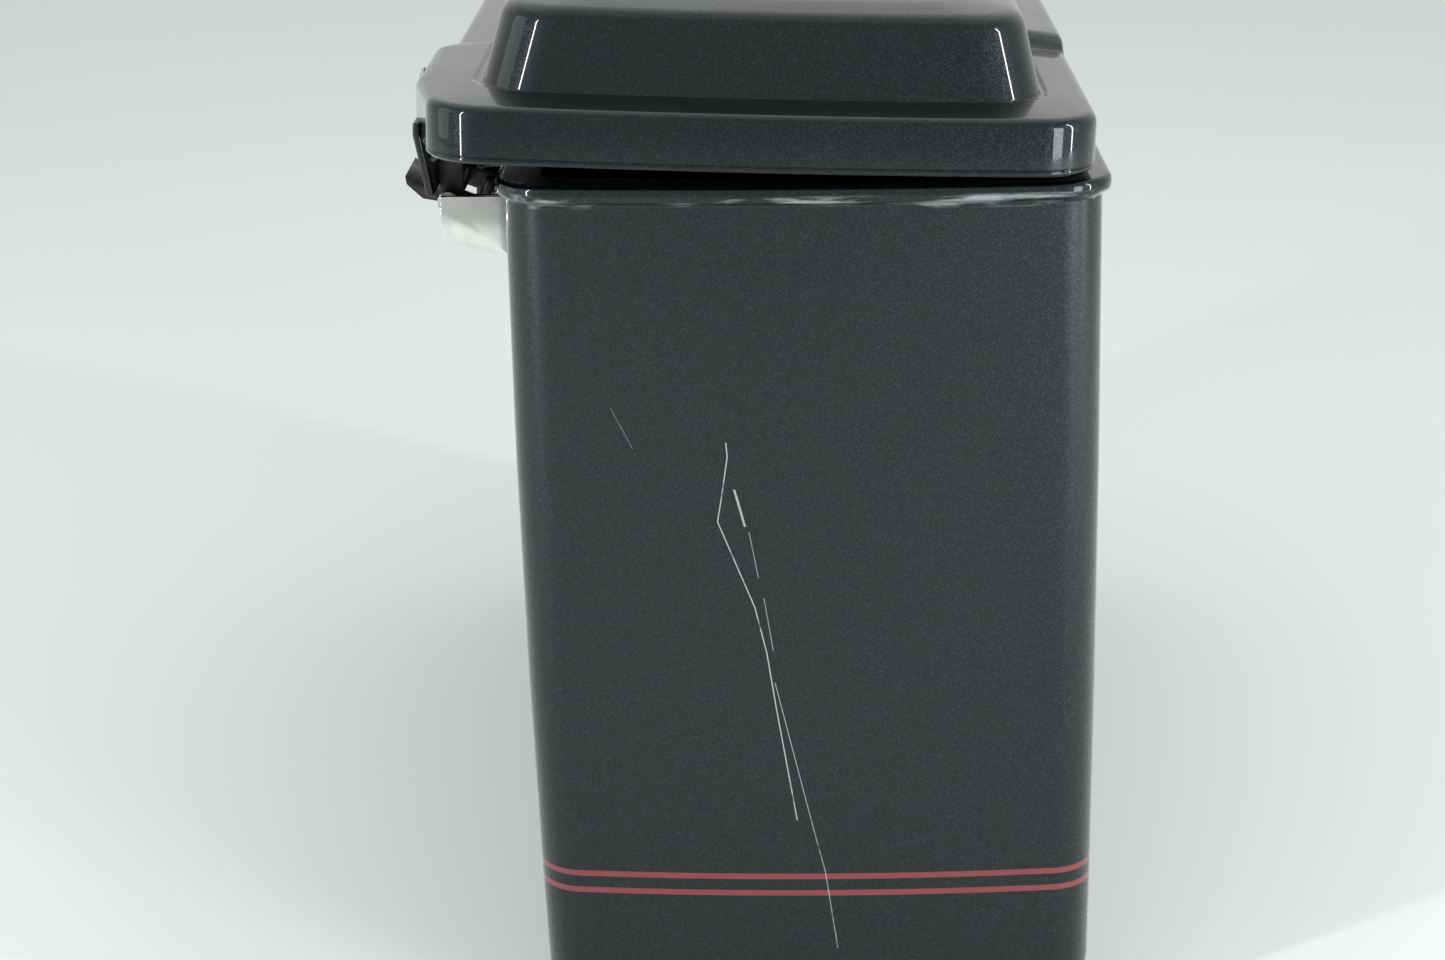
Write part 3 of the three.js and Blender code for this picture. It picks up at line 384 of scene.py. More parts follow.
    def scratch_mask(self, tree: Any, place: Any, split: Any) -> Any:
        """Marks the rear wall's scratches and the rubbed band under its rim.

        Args:
            tree: The material's node tree.
            place: The object coordinates.
            split: The same coordinates, one output for each axis.

        Returns:
            1 in a scratch and 0 elsewhere.
        """
        total: Any = 0.0
        for scratch in REAR_SCRATCHES:
            total = maths(tree, "MAXIMUM", total, scratch.mask(tree, place, split))
        foot_low, foot_high = (z * MM for z in self.rub_foot)
        top_low, top_high = (z * MM for z in self.rub_top)
        above = ramp(tree, split["Z"], foot_low, foot_high)
        rub_height = maths(tree, "MULTIPLY", above, ramp(tree, split["Z"], top_low, top_high, 1, 0))
        rubbed = ramp(tree, noise(tree, place, 7, 4, (5, 1, 0.6)), 0.5, 0.62, 0, 0.55)
        rub = maths(tree, "MULTIPLY", rub_height, rubbed)
        total = maths(tree, "MAXIMUM", total, rub)
        rear_full, rear_none = (y * MM for y in self.rear_wall)
        rear_only = ramp(tree, split["Y"], rear_full, rear_none, 1, 0)
        return maths(tree, "MULTIPLY", total, rear_only)


@dataclass(frozen=True)
class Scratch:
    """One scratch down the rear wall: points of (height, across) in millimetres, top first."""

    points: tuple[Point2, ...]
    width: float = 0.45
    strength: float = 0.8
    broken: float = 0.35

    def mask(self, tree: Any, place: Any, split: Any) -> Any:
        """Marks the scratch.

        Args:
            tree: The material's node tree.
            place: The object coordinates.
            split: The same coordinates, one output for each axis.

        Returns:
            Its strength on the line and 0 elsewhere.
        """
        top, foot = self.points[0][0] * MM, self.points[-1][0] * MM
        datum = SCRATCH_DATUM + SHIFT
        margin = 1.0  # keeps the curve off its ends
        left = min(across for _, across in self.points) + datum - margin
        right = max(across for _, across in self.points) + datum + margin
        along = ramp(tree, split["Z"], top, foot)
        curve = add_node(tree, "ShaderNodeFloatCurve", {"Value": along})
        line = curve.mapping.curves[0]
        drop, width = top - foot, right - left
        spots = [((top - z * MM) / drop, (x + datum - left) / width) for z, x in self.points]
        while len(line.points) < len(spots):
            line.points.new(0.5, 0.5)
        for point, spot in zip(line.points, spots):
            point.location = spot
            point.handle_type = "VECTOR"
        curve.mapping.update()
        across = ramp(tree, curve.outputs["Value"], 0, 1, left * MM, right * MM)
        away = maths(tree, "ABSOLUTE", maths(tree, "SUBTRACT", split["X"], across))
        half = self.width * MM / 2
        core = ramp(tree, away, half * 0.5, half * 1.3, self.strength, 0)
        begins = ramp(tree, along, 0.0005, 0.004)
        inside = maths(tree, "MULTIPLY", begins, ramp(tree, along, 0.996, 0.9995, 1, 0))
        gaps = ramp(tree, noise(tree, place, 6, 3), self.broken - 0.05, self.broken + 0.08)
        return maths(tree, "MULTIPLY", maths(tree, "MULTIPLY", core, inside), gaps)


@dataclass(frozen=True)
class Metal(Finish):
    """A bare or plated metal with a direction of rubbing and faint smudges."""

    colour: str = "#C9CCCB"
    tint: str = "#9FA3A2"
    roughness: tuple[float, float] = (0.12, 0.3)
    grain_mm: float = 0.4
    grain_depth: float = 0.004
    metallic: float = 1.0

    def dress(self, tree: bpy.types.NodeTree, shader: Any, place: Any) -> None:
        """Sets the shader's sockets.

        Args:
            tree: The material's node tree.
            shader: Its Principled shader.
            place: The object coordinates.
        """
        smudge = noise(tree, place, 14, 4)
        grain = noise(tree, place, self.grain_mm, 2, (1, 24, 1))
        colour = mixed(tree, ramp(tree, smudge, 0.4, 0.7), linear(self.colour), linear(self.tint))
        tree.links.new(colour, shader.inputs["Base Color"])
        tree.links.new(ramp(tree, smudge, 0.35, 0.7, *self.roughness), shader.inputs["Roughness"])
        shader.inputs["Metallic"].default_value = self.metallic
        tree.links.new(bump(tree, grain, self.grain_depth), shader.inputs["Normal"])


@dataclass(frozen=True)
class Moulded(Finish):
    """Moulded plastic or rubber with a fine spark-eroded grain."""

    colour: str = "#17181A"
    worn: str = "#2A2B2D"
    roughness: tuple[float, float] = (0.5, 0.7)
    grain_mm: float = 0.9
    grain_depth: float = 0.03

    def dress(self, tree: bpy.types.NodeTree, shader: Any, place: Any) -> None:
        """Sets the shader's sockets.

        Args:
            tree: The material's node tree.
            shader: Its Principled shader.
            place: The object coordinates.
        """
        cloud = noise(tree, place, 25, 4)
        colour = mixed(tree, ramp(tree, cloud, 0.45, 0.75, 0, 0.6), linear(self.colour), linear(self.worn))
        tree.links.new(colour, shader.inputs["Base Color"])
        tree.links.new(ramp(tree, cloud, 0.3, 0.7, *self.roughness), shader.inputs["Roughness"])
        grain = noise(tree, place, self.grain_mm, 3)
        tree.links.new(bump(tree, grain, self.grain_depth), shader.inputs["Normal"])


@dataclass(frozen=True)
class Webbing(Finish):
    """Woven nylon: fine ribs along the strap and a weave across it."""

    colour: str = "#1B1C1F"
    thread: str = "#33353A"
    thread_mm: float = 1.1

    def dress(self, tree: bpy.types.NodeTree, shader: Any, place: Any) -> None:
        """Sets the shader's sockets.

        Args:
            tree: The material's node tree.
            shader: Its Principled shader.
            place: The object coordinates.
        """
        turns = 2 * math.pi * per_metre(self.thread_mm)
        split = add_node(tree, "ShaderNodeSeparateXYZ", {"Vector": place}).outputs
        ribs = maths(tree, "ABSOLUTE", maths(tree, "SINE", maths(tree, "MULTIPLY", split["X"], turns)))
        along = maths(tree, "ADD", split["Z"], split["Y"])
        weave = maths(tree, "ABSOLUTE", maths(tree, "SINE", maths(tree, "MULTIPLY", along, turns)))
        height = maths(tree, "MULTIPLY", ribs, ramp(tree, weave, 0, 1, 0.6, 1))
        colour = mixed(tree, height, linear(self.colour), linear(self.thread))
        tree.links.new(colour, shader.inputs["Base Color"])
        shader.inputs["Roughness"].default_value = 0.8
        shader.inputs["Sheen Weight"].default_value = 0.3
        tree.links.new(bump(tree, height, 0.25), shader.inputs["Normal"])


@dataclass(frozen=True)
class StudioFloor(Finish):
    """A matt pale floor."""

    colour: str = "#F1F5F4"
    cloud: str = "#E6EDEB"

    def dress(self, tree: bpy.types.NodeTree, shader: Any, place: Any) -> None:
        """Sets the shader's sockets.

        Args:
            tree: The material's node tree.
            shader: Its Principled shader.
            place: The object coordinates.
        """
        cloud = noise(tree, place, 500, 2)
        colour = mixed(tree, ramp(tree, cloud, 0.3, 0.7, 0, 0.15), linear(self.colour), linear(self.cloud))
        tree.links.new(colour, shader.inputs["Base Color"])
        shader.inputs["Roughness"].default_value = 0.9


SCRATCH_DATUM = -13.2  # the drawn X of the upright line that the scratches are measured from

REAR_SCRATCHES = (
    Scratch(
        (
            (253, -15.5),
            (247, -15),
            (230, -17.5),
            (221, -19),
            (206, -13),
            (186, -5),
            (167, -0.5),
            (144, 3),
            (114, 8),
            (96, 11),
        )
    ),
    Scratch(((155, 2.5), (92, 17.5), (74, 22), (40, 27)), 0.35, 0.6),
    Scratch(((234, -12.5), (219, -8.5)), 0.9, 0.7, 0.3),
    Scratch(((217, -7), (198, -3.5)), 0.35, 0.5, 0.3),
    Scratch(((190, -1.5), (168, 2)), 0.35, 0.5, 0.3),
    Scratch(((266, -59), (250, -51)), 0.3, 0.3, 0.3),
)

PAINT = MetallicPaint("charcoal metallic clearcoat, pinstriped", stripe_heights=(64.7, 71.9), scratches=True)
LID_PAINT = MetallicPaint("charcoal metallic clearcoat, lid")
INTERIOR = Moulded("moulded black ABS, inside", "#1A1B1D", "#2B2C2E", (0.55, 0.7), 1.1, 0.04)
PANEL_PLASTIC = Moulded("textured black ABS panel", "#151618", "#26272A", (0.5, 0.65), 0.9, 0.04)
POLISHED = Metal("polished stainless steel", "#D6D6D2", "#BFC0BC", (0.1, 0.26), 0.5, 0.003)
ZINC = Metal("zinc-plated steel", "#A9ABA8", "#85867F", (0.28, 0.45), 0.5, 0.006)
DARK_STEEL = Metal("black-brown coated steel", "#322D2A", "#1B1918", (0.3, 0.5), 0.7, 0.01, 0.6)
RUBBER = Moulded("moulded EPDM rubber", "#131313", "#232323", (0.65, 0.85), 1.4, 0.02)
NYLON = Webbing("woven nylon webbing")


# ---- Mesh tools ----

SHELL_CREASE = math.radians(38)  # the shells' edges that turn more than this stay crisp
PRISM_CREASE = math.radians(50)
SCREW_CREASE = math.radians(35)


def link(name: str, mesh: bpy.types.Mesh, finishes: Sequence[Finish]) -> bpy.types.Object:
    """Puts a mesh in the scene as an object at the origin.

    Args:
        name: The name of the object and its mesh.
        mesh: The mesh, with its place worked in.
        finishes: Its finishes, in the order of its faces' material indices.

    Returns:
        The object.
    """
    mesh.name = name
    mesh.materials.clear()
    for finish in finishes:
        mesh.materials.append(finish.material())
    piece = bpy.data.objects.new(name, mesh)
    bpy.context.scene.collection.objects.link(piece)
    return piece


def finish_piece(piece: bpy.types.Object, body: Body, nodes: Sequence[str]) -> bpy.types.Object:
    """Rides a finished piece on its body and hides the nodes it stands for.

    Args:
        piece: The piece.
        body: The body that it moves with.
        nodes: The frame's nodes that it stands for.

    Returns:
        The same piece.
    """
    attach(piece, body.value)
    if nodes:
        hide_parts(*nodes)
    log.info("%s on %s: %d faces", piece.name, body.value, len(piece.data.polygons))
    return piece


def rounded_outline(points: Sequence[Point2], radii: Sequence[float], steps: int = 6) -> list[Point2]:
    """Rounds the corners of an open line of points.

    Args:
        points: The line's corners.
        radii: A radius for each corner; the ends' are ignored.
        steps: Points in each rounded corner.

    Returns:
        The rounded line.
    """
    line = [points[0]]
    for before, corner, after, radius in zip(points, points[1:], points[2:], radii[1:]):
        here, back, on = Vector(corner), Vector(before) - Vector(corner), Vector(after) - Vector(corner)
        turn = math.pi - back.angle(on)
        reach = min(radius * math.tan(turn / 2), back.length * 0.49, on.length * 0.49)
        if reach < 1e-4 or turn < 1e-3:
            line.append(corner)
            continue
        start, end = here + back.normalized() * reach, here + on.normalized() * reach
        for i in range(steps + 1):
            t = i / steps
            spot = start * (1 - t) ** 2 + here * 2 * t * (1 - t) + end * t**2
            line.append((spot.x, spot.y))
    line.append(points[-1])
    return line


def loft_mesh(name: str, rings: Sequence[Sequence[Vector]], inner_from: int | None = None) -> bpy.types.Mesh:
    """Skins rings of equal length into one closed mesh, capped at both ends.

    Args:
        name: The mesh's name.
        rings: The rings in metres, in order.
        inner_from: The ring from which faces take the second finish.

    Returns:
        A smooth mesh with its faces outwards.
    """
    count = len(rings[0])
    mesh = bpy.data.meshes.new(name)
    verts = [tuple(p) for ring in rings for p in ring]
    faces: list[list[int]] = [list(range(count))[::-1]]
    for r in range(len(rings) - 1):
        base, top = r * count, (r + 1) * count
        faces += [[base + i, base + (i + 1) % count, top + (i + 1) % count, top + i] for i in range(count)]
    last = (len(rings) - 1) * count
    faces.append(list(range(last, last + count)))
    mesh.from_pydata(verts, [], faces)
    if inner_from is not None:
        for index, face in enumerate(mesh.polygons):
            face.material_index = 1 if index > inner_from * count else 0
    work = bmesh.new()
    work.from_mesh(mesh)
    bmesh.ops.recalc_face_normals(work, faces=work.faces)
    work.to_mesh(mesh)
    work.free()
    mesh.shade_smooth()
    mesh.set_sharp_from_angle(angle=SHELL_CREASE)
    return mesh


def baked(piece: bpy.types.Object) -> bpy.types.Object:
    """Applies a piece's modifiers by taking its evaluated mesh, and removes them.

    Args:
        piece: The piece.

    Returns:
        The same piece with a plain mesh.
    """
    bpy.context.view_layer.update()
    graph = bpy.context.evaluated_depsgraph_get()
    mesh = bpy.data.meshes.new_from_object(piece.evaluated_get(graph))
    piece.modifiers.clear()
    piece.data = mesh
    return piece


@dataclass(frozen=True)
class Hole:
    """A round hole along X, in millimetres."""

    start: float
    end: float
    y: float
    z: float
    radius: float


def drilled(piece: bpy.types.Object, holes: Sequence[Hole]) -> bpy.types.Object:
    """Cuts round holes through a piece.

    Args:
        piece: The closed piece.
        holes: The holes.

    Returns:
        The same piece with its holes.
    """
    work = bmesh.new()
    for hole in holes:
        middle = Vector(((hole.start + hole.end) / 2, hole.y, hole.z)) * MM
        place = Matrix.Translation(middle) @ Matrix.Rotation(math.pi / 2, 4, "Y")
        radius, depth = hole.radius * MM, (hole.end - hole.start) * MM
        size = {"radius1": radius, "radius2": radius, "depth": depth}
        bmesh.ops.create_cone(work, cap_ends=True, segments=48, matrix=place, **size)
    mesh = bpy.data.meshes.new("drill")
    work.to_mesh(mesh)
    work.free()
    drill = bpy.data.objects.new("drill", mesh)
    bpy.context.scene.collection.objects.link(drill)
    cut = piece.modifiers.new("holes", "BOOLEAN")
    cut.operation = "DIFFERENCE"
    cut.solver = "EXACT"
    cut.object = drill
    baked(piece)
    bpy.data.objects.remove(drill)
    piece.data.set_sharp_from_angle(angle=SHELL_CREASE)
    return piece


def refined_copy(node: str, finish: Finish, edge_mm: float = 0.35, sharp: float = 32.0) -> bpy.types.Object:
    """Copies a frame node as a merged mesh with small rounded edges and smooth faces.

    Args:
        node: The node's name.
        finish: The finish it gets.
        edge_mm: The width of its rounded edges.
        sharp: The angle in degrees above which an edge is rounded.

    Returns:
        The new piece, named after the node.
    """
    work = bmesh.new()
    work.from_mesh(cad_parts[node].data)
    bmesh.ops.remove_doubles(work, verts=work.verts, dist=1e-6)
    bmesh.ops.dissolve_limit(work, angle_limit=math.radians(1), verts=work.verts, edges=work.edges)
    mesh = bpy.data.meshes.new(node + "_fine")
    work.to_mesh(mesh)
    work.free()
    piece = link(node + "_fine", mesh, [finish])
    edge = piece.modifiers.new("edges", "BEVEL")
    edge.width = edge_mm * MM
    edge.segments = 2
    edge.limit_method = "ANGLE"
    edge.angle_limit = math.radians(sharp)
    baked(piece)
    piece.data.shade_smooth()
    piece.data.set_sharp_from_angle(angle=math.radians(sharp))
    return piece


def joined(name: str, pieces: Sequence[bpy.types.Object]) -> bpy.types.Object:
    """Joins pieces into one object, with the first one's finishes.

    Args:
        name: The object's name.
        pieces: The pieces, which are removed.

    Returns:
        The object.
    """
    work = bmesh.new()
    for piece in pieces:
        work.from_mesh(piece.data)
    mesh = bpy.data.meshes.new(name)
    work.to_mesh(mesh)
    work.free()
    result = bpy.data.objects.new(name, mesh)
    for material in pieces[0].data.materials:
        mesh.materials.append(material)
    bpy.context.scene.collection.objects.link(result)
    for piece in pieces:
        bpy.data.objects.remove(piece)
    return result


# ---- Shapes shared by the bag and the lid ----


@dataclass(frozen=True)
class Plan:
    """The rounded, bow-ended outline of the bag or the lid at one level, seen from above."""

    outboard: float
    inboard: float
    half_length: float
    radius: float
    bow: float
    end_steps: int = 28
    corner_steps: int = 10
    side_steps: int = 60

    def sides(self) -> list[float]:
        """Gives the shares along a long side at which points stand, evenly spread."""
        return [i / self.side_steps for i in range(1, self.side_steps)]

    def end_slope(self) -> float:
        """Gives the slope of the bowed end where it meets a long side."""
        return 4 * self.bow / (self.inboard - self.outboard)

    def corner_reach(self) -> float:
        """Gives how far a rounded corner reaches along each of its two sides."""
        turn = math.pi / 2 - math.atan(self.end_slope())
        return self.radius * math.tan(turn / 2)

    def straight_reach(self) -> float:
        """Gives the Y at which the long sides end and the rounded corners start."""
        return self.half_length - self.bow - self.corner_reach()

    def ring(self, sides: Sequence[float] | None = None) -> list[Point2]:
        """Gives the outline's points, anticlockwise from above.

        Args:
            sides: Heights along the long sides, in millimetres of Y, or None for an even spread.

        Returns:
            The points.
        """
        middle = (self.outboard + self.inboard) / 2
        half = (self.inboard - self.outboard) / 2
        straight = self.straight_reach()
        span = half - self.corner_reach() * math.cos(math.atan(self.end_slope()))
        quarter: list[Point2] = []
        for i in range(self.end_steps // 2 + 1):
            x = span * i / (self.end_steps // 2)
            quarter.append((x, self.half_length - self.bow * (x / half) ** 2))
        start, end = Vector(quarter[-1]), Vector((half, straight))
        peak = Vector((half, self.half_length - self.bow))
        bend = 0.5523  # makes a cubic curve of a quarter circle
        for i in range(1, self.corner_steps + 1):
            t = i / self.corner_steps
            a, b = start.lerp(peak, bend), end.lerp(peak, bend)
            spot = start * (1 - t) ** 3 + a * 3 * t * (1 - t) ** 2 + b * 3 * t * t * (1 - t) + end * t**3
            quarter.append((spot.x, spot.y))
        heights = list(sides) if sides else [straight * (2 * share - 1) for share in self.sides()]
        right = [(half, y) for y in heights]
        left = [(-half, -y) for y in heights]
        if sides:
            left = [(-half, y) for y in reversed(list(sides))]
        near_right = [(x, -y) for x, y in quarter]
        far_right = [(x, y) for x, y in reversed(quarter)]
        far_left = [(-x, y) for x, y in quarter[1:]]
        near_left = [(-x, -y) for x, y in reversed(quarter[1:])]
        ring = near_right + right + far_right + far_left + left + near_left
        return [(x + middle, y) for x, y in ring]


@dataclass(frozen=True)
class LidPose:
    """The lid's tip at rest: a turn about a line along Y at its inboard lower edge."""

    x: float
    z: float
    degrees: float

    def matrix(self) -> Matrix:
        """Gives the turn as a matrix in metres.

        Returns:
            The matrix.
        """
        centre = Vector((self.x, 0, self.z)) * MM
        turn = Matrix.Rotation(math.radians(self.degrees), 4, "Y")
        return Matrix.Translation(centre) @ turn @ Matrix.Translation(-centre)

    def tip(self, piece: bpy.types.Object) -> bpy.types.Object:
        """Moves a piece drawn closed into the rest pose, in its mesh."""
        piece.data.transform(self.matrix())
        return piece


def side_heights(
    reach: float, close: Sequence[float], spacing: float = 9.0, spread: float = 5.0, steps: int = 8
) -> list[float]:
    """Gives Y values along a long side, with closer ones round each place in `close`.

    Args:
        reach: The side's half length.
        close: Places that need close points.
        spacing: The usual spacing.
        spread: How far the close points reach either side.
        steps: How many close points there are either side.

    Returns:
        The values in rising order.
    """
    count = round(2 * reach / spacing)
    values = {round(-reach + 2 * reach * i / count, 3) for i in range(count + 1)}
    for place in close:
        values |= {round(place + spread * (i / steps), 3) for i in range(-steps, steps + 1)}
    return sorted(v for v in values if -reach <= v <= reach)


def smoothstep(value: float, low: float, high: float) -> float:
    """Rises smoothly from 0 at low to 1 at high."""
    t = min(max((value - low) / (high - low), 0.0), 1.0)
    return t * t * (3 - 2 * t)


# ---- The bag ----

RIM_OUTBOARD = -114.697  # the rim's outboard edge in the drawing
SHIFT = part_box("bag_shell")[0][0] / MM - RIM_OUTBOARD  # the frame's origin in the drawing


@dataclass
class BagShell:
    """The moulded bag with its rolled rim."""

    outboard: float = -111.3 + SHIFT
    inboard: float = 113.6 + SHIFT
    outboard_taper: float = 9.0
    inboard_swell: float = 2.4
    fullest_share: float = 0.3  # the share of the height at which the inboard wall swells most
    half_length: float = 283.0
    height: float = 352.0
    wall: float = 3.5
    rim_height: float = 6.5
    rim_proud: float = 3.4
    rim_flange: float = 13.5
    corner: float = 18.0
    floor_radius: float = 30.0
    end_bow: float = 6.0
    stud_y: float = 150.0
    stud_height: float = 252.0
    stud_hole: float = 9.2
    stud_hole_ends: Point2 = (90.0 + SHIFT, 130.0 + SHIFT)  # well inside and outside the inboard wall
    floor_inset: float = 75.0  # how far the floor's rings run in before the cap

    @property
    def straight(self) -> float:
        """The height at which the rim starts."""
        return self.height - self.rim_height

    def plan(self, inset: float, z: float) -> Plan:
        """Gives the outline at a height.

        Args:
            inset: How far it is moved in from the wall's outer face.
            z: The height.

        Returns:
            The outline.
        """
        shape_z = min(max(z, self.floor_radius), self.straight)
        fullest = self.height * self.fullest_share
        outboard = self.outboard + self.outboard_taper * (1 - shape_z / self.height) ** 2
        swell = 1 - ((shape_z - fullest) / (self.height - fullest)) ** 2
        inboard = self.inboard + self.inboard_swell * swell
        radius = max(self.corner - inset, 5.0)
        return Plan(outboard + inset, inboard - inset, self.half_length - inset, radius, self.end_bow)

    def profile(self) -> tuple[list[Point2], int]:
        """Gives the wall's section as (inset, z), from under the floor over the rim to the inside floor.

        Returns:
            The section and the index at which the inside starts.
        """
        rim = self.straight
        proud = -self.rim_proud
        outside = rounded_outline(
            [
                (self.floor_inset, 0),
                (0, 0),
                (0, 60),
                (0, 150),
                (0, 240),
                (0, rim - 1),
                (proud, rim + 0.8),
                (proud, self.height),
                (self.rim_flange, self.height),
            ],
            [0, self.floor_radius, 400, 400, 400, 1.2, 3.2, 3.2, 0],
            9,
        )
        inside = rounded_outline(
            [
                (self.rim_flange, self.height),
                (self.rim_flange, rim + self.wall),
                (self.wall, rim),
                (self.wall, 180),
                (self.wall, self.wall),
                (self.floor_inset, self.wall),
            ],
            [0, 1, 1, 300, self.floor_radius - self.wall, 0],
            9,
        )
        return outside[:-1] + inside, len(outside) - 1

    def rings(self) -> tuple[list[list[Vector]], int]:
        """Gives the rings of the shell.

        Returns:
            The rings in metres and the index at which the inside starts.
        """
        section, inner = self.profile()
        rings = []
        for inset, z in section:
            rings.append([Vector((x, y, z)) * MM for x, y in self.plan(inset, z).ring()])
        return rings, inner

    def build(self) -> None:
        """Builds the shell."""
        rings, inner = self.rings()
        piece = link("bag_body", loft_mesh("bag_body", rings, inner), [PAINT, INTERIOR])
        start, end = self.stud_hole_ends
        places = (-self.stud_y, self.stud_y)
        drilled(piece, [Hole(start, end, y, self.stud_height, self.stud_hole) for y in places])
        finish_piece(piece, Body.BAG, ["bag_shell"])


# ---- The lid ----


@dataclass
class Lid:
    """The stepped lid: skirt, ledge, crown, inboard pad and the latch tongue."""

    bag: BagShell
    base: float = 354.5
    outboard: float = -140.0 + SHIFT
    inboard: float = 110.0 + SHIFT
    half_length: float = 292.4
    corner: float = 24.0
    wall: float = 3.2
    skirt: float = 21.0
    ledge: float = 18.5
    ledge_end: float = 34.0
    crown: float = 31.0
    slope: float = 8.0
    end_bow: float = 6.0
    latch_y: float = -197.0
    tongue_half: float = 47.0
    tongue_proud: float = 7.5
    tongue_drop: float = 22.6
    crease: float = -1.2
    tongue_wall: float = 3.0
    tongue_lean: float = 5.2
    pad_half: float = 140.0
    pad_rise: float = 5.0
    lock_rise: float = 9.0
    lock_hole: float = 8.3
    lock_hole_ends: Point2 = (-4.0, 18.0)  # from the tongue's face
    tongue_root: float = 6.0  # how far the hanging wall runs up into the shell
    tongue_edge: float = 0.9
    rest_tip: float = 1.9
    panel_rise: float = 3.2  # from the lid's edge to the panel's underside
    panel_edge: float = 0.8
    seal_inset: float = 3.3
    seal_half_width: float = 2.45
    seal_clearance: float = 0.5
    seal_thinning: float = 0.6
    seal_steps: int = 20

    @property
    def pose(self) -> LidPose:
        """The lid's tip at rest."""
        return LidPose(self.inboard, self.base, self.rest_tip)

    def tongue(self, y: float) -> float:
        """Gives how much of the tongue's reach the outline has: sharp at its rear end, hollowed at its front.

        Args:
            y: The place along the lid.

        Returns:
            The share, from 0 to 1.
        """
        rear_end, front_end = self.latch_y - self.tongue_half, self.latch_y + self.tongue_half
        rear = smoothstep(y, rear_end - 0.8, rear_end + 0.8)
        return rear * (1 - smoothstep(y, front_end - 12, front_end))

    def pad(self, y: float) -> float:
        """How much of the pad's height the ledge has at y."""
        return 1 - smoothstep(abs(y), self.pad_half - 12, self.pad_half)

    def section(self, wall: float) -> list[Point2]:
        """Gives the lid's section as (inset, rise), from the lower edge to the crown's middle.

        Args:
            wall: 0 for the outer face, or the wall for the inner face.

        Returns:
            The section.
        """
        foot = self.skirt + 1.2
        top = foot + self.crown
        outer = [
            (0.9, 0),
            (0, 0.9),
            (0, 1.9),
            (0.45, 2.3),
            (0, 2.9),
            (0, self.skirt),
            (self.ledge - 3, foot - 0.2),
            (self.ledge - 1.6, foot - 1.2),
            (self.ledge - 0.2, foot - 1.2),
            (self.ledge + self.slope - 0.5, top - 2),
            (self.ledge + self.slope + 20, top + 1.0),
            (66, top + 1.6),
        ]
        radii = [0, 0.7, 0.3, 0.3, 0.3, 4.5, 1.5, 0.8, 3.0, 8.0, 60, 0]
        if not wall:
            return rounded_outline(outer, radii, 8)
        inner = [
            (wall, 0),
            (wall, self.skirt - wall),
            (self.ledge + wall * 0.6, foot - wall),
            (self.ledge + self.slope + wall, top - wall - 1),
            (self.ledge + self.slope + 20, top - wall + 0.4),
            (66, top - wall + 1),
        ]
        return rounded_outline(inner, [0, 2, 4, 6, 40, 0], 4)

    def ring(self, inset: float, rise: float) -> list[Vector]:
        """Gives one ring of the lid, with the tongue and the pad worked in.

        Args:
            inset: How far it is moved in from the lid's outer face.
            rise: Its height above the lid's lower edge.

        Returns:
            The ring in metres.
        """
        radius = max(self.corner - min(inset, 3), 8)
        if inset > self.ledge - 4:
            radius = self.corner
        end = inset + (self.ledge_end - self.ledge) * smoothstep(inset, self.ledge - 15, self.ledge - 1)
        plan = Plan(self.outboard + inset, self.inboard - inset, self.half_length - end, radius, self.end_bow)
        limit = self.half_length - self.end_bow - 48
        tongue_front = self.latch_y + self.tongue_half
        tongue_ends = (self.latch_y - self.tongue_half, tongue_front, tongue_front - 8)
        heights = side_heights(limit, (*tongue_ends, -self.pad_half, self.pad_half))
        # keeps the sides short of the crown's corners
        shrink = min(1.0, (plan.straight_reach() - 1) / limit)
        heights = [y * shrink for y in heights]
        ring = []
        out_share = min(max(1 - inset / self.ledge, 0), 1)
        on_ledge = 1 - smoothstep(inset, self.ledge, self.ledge + 6)
        rise_share = smoothstep(rise, self.skirt - 4, self.skirt - 1) * on_ledge
        for x, y in plan.ring(heights):
            dx = -self.tongue_proud * self.tongue(y) * out_share if x < self.outboard + inset + 0.5 else 0.0
            dz = self.pad_rise * self.pad(y) * rise_share if x > self.inboard - inset - 0.5 else 0.0
            ring.append(Vector((x + dx, y, self.base + rise + dz)) * MM)
        return ring

    def build_shell(self) -> bpy.types.Object:
        """Builds the shell with the tongue's hanging wall.

        Returns:
            The shell, drawn closed.
        """
        outer = self.section(0)
        inner = self.section(self.wall)
        rings = [self.ring(inset, rise) for inset, rise in reversed(outer)]
        rings += [self.ring(inset, rise) for inset, rise in inner]
        mesh = loft_mesh("lid_body", rings, len(outer))
        shell = link("lid_body", mesh, [LID_PAINT, INTERIOR])
        face = self.outboard - self.tongue_proud
        start, end = (face + reach for reach in self.lock_hole_ends)
        lock = Hole(start, end, self.latch_y, self.base + self.lock_rise, self.lock_hole)
        drilled(shell, [lock])
        wall = drilled(self.hanging_wall(), [lock])
        return joined("lid_body", [shell, wall])

    def hanging_wall(self) -> bpy.types.Object:
        """Builds the wall that hangs from the tongue in front of the latch.

        Returns:
            The wall, drawn closed.
        """
        face = self.outboard - self.tongue_proud
        crease, foot = self.base - self.crease, self.base - self.tongue_drop
        section = [
            (face, self.base + self.tongue_root),
            (face, crease),
            (face + self.tongue_lean, foot),
            (face + self.tongue_lean + self.tongue_wall, foot),
            (face + self.tongue_wall, crease),
            (face + self.tongue_wall, self.base + self.tongue_root),
        ]
        ends = (self.latch_y - self.tongue_half, self.latch_y + self.tongue_half)
        return prism("hanging_wall", section, ends, LID_PAINT, self.tongue_edge)

    def build_panel(self) -> None:
        """Builds the panel under the lid."""
        panel = refined_copy("lid_inner_panel", PANEL_PLASTIC, self.panel_edge)
        finish_piece(panel, Body.LID, ["lid_inner_panel"])

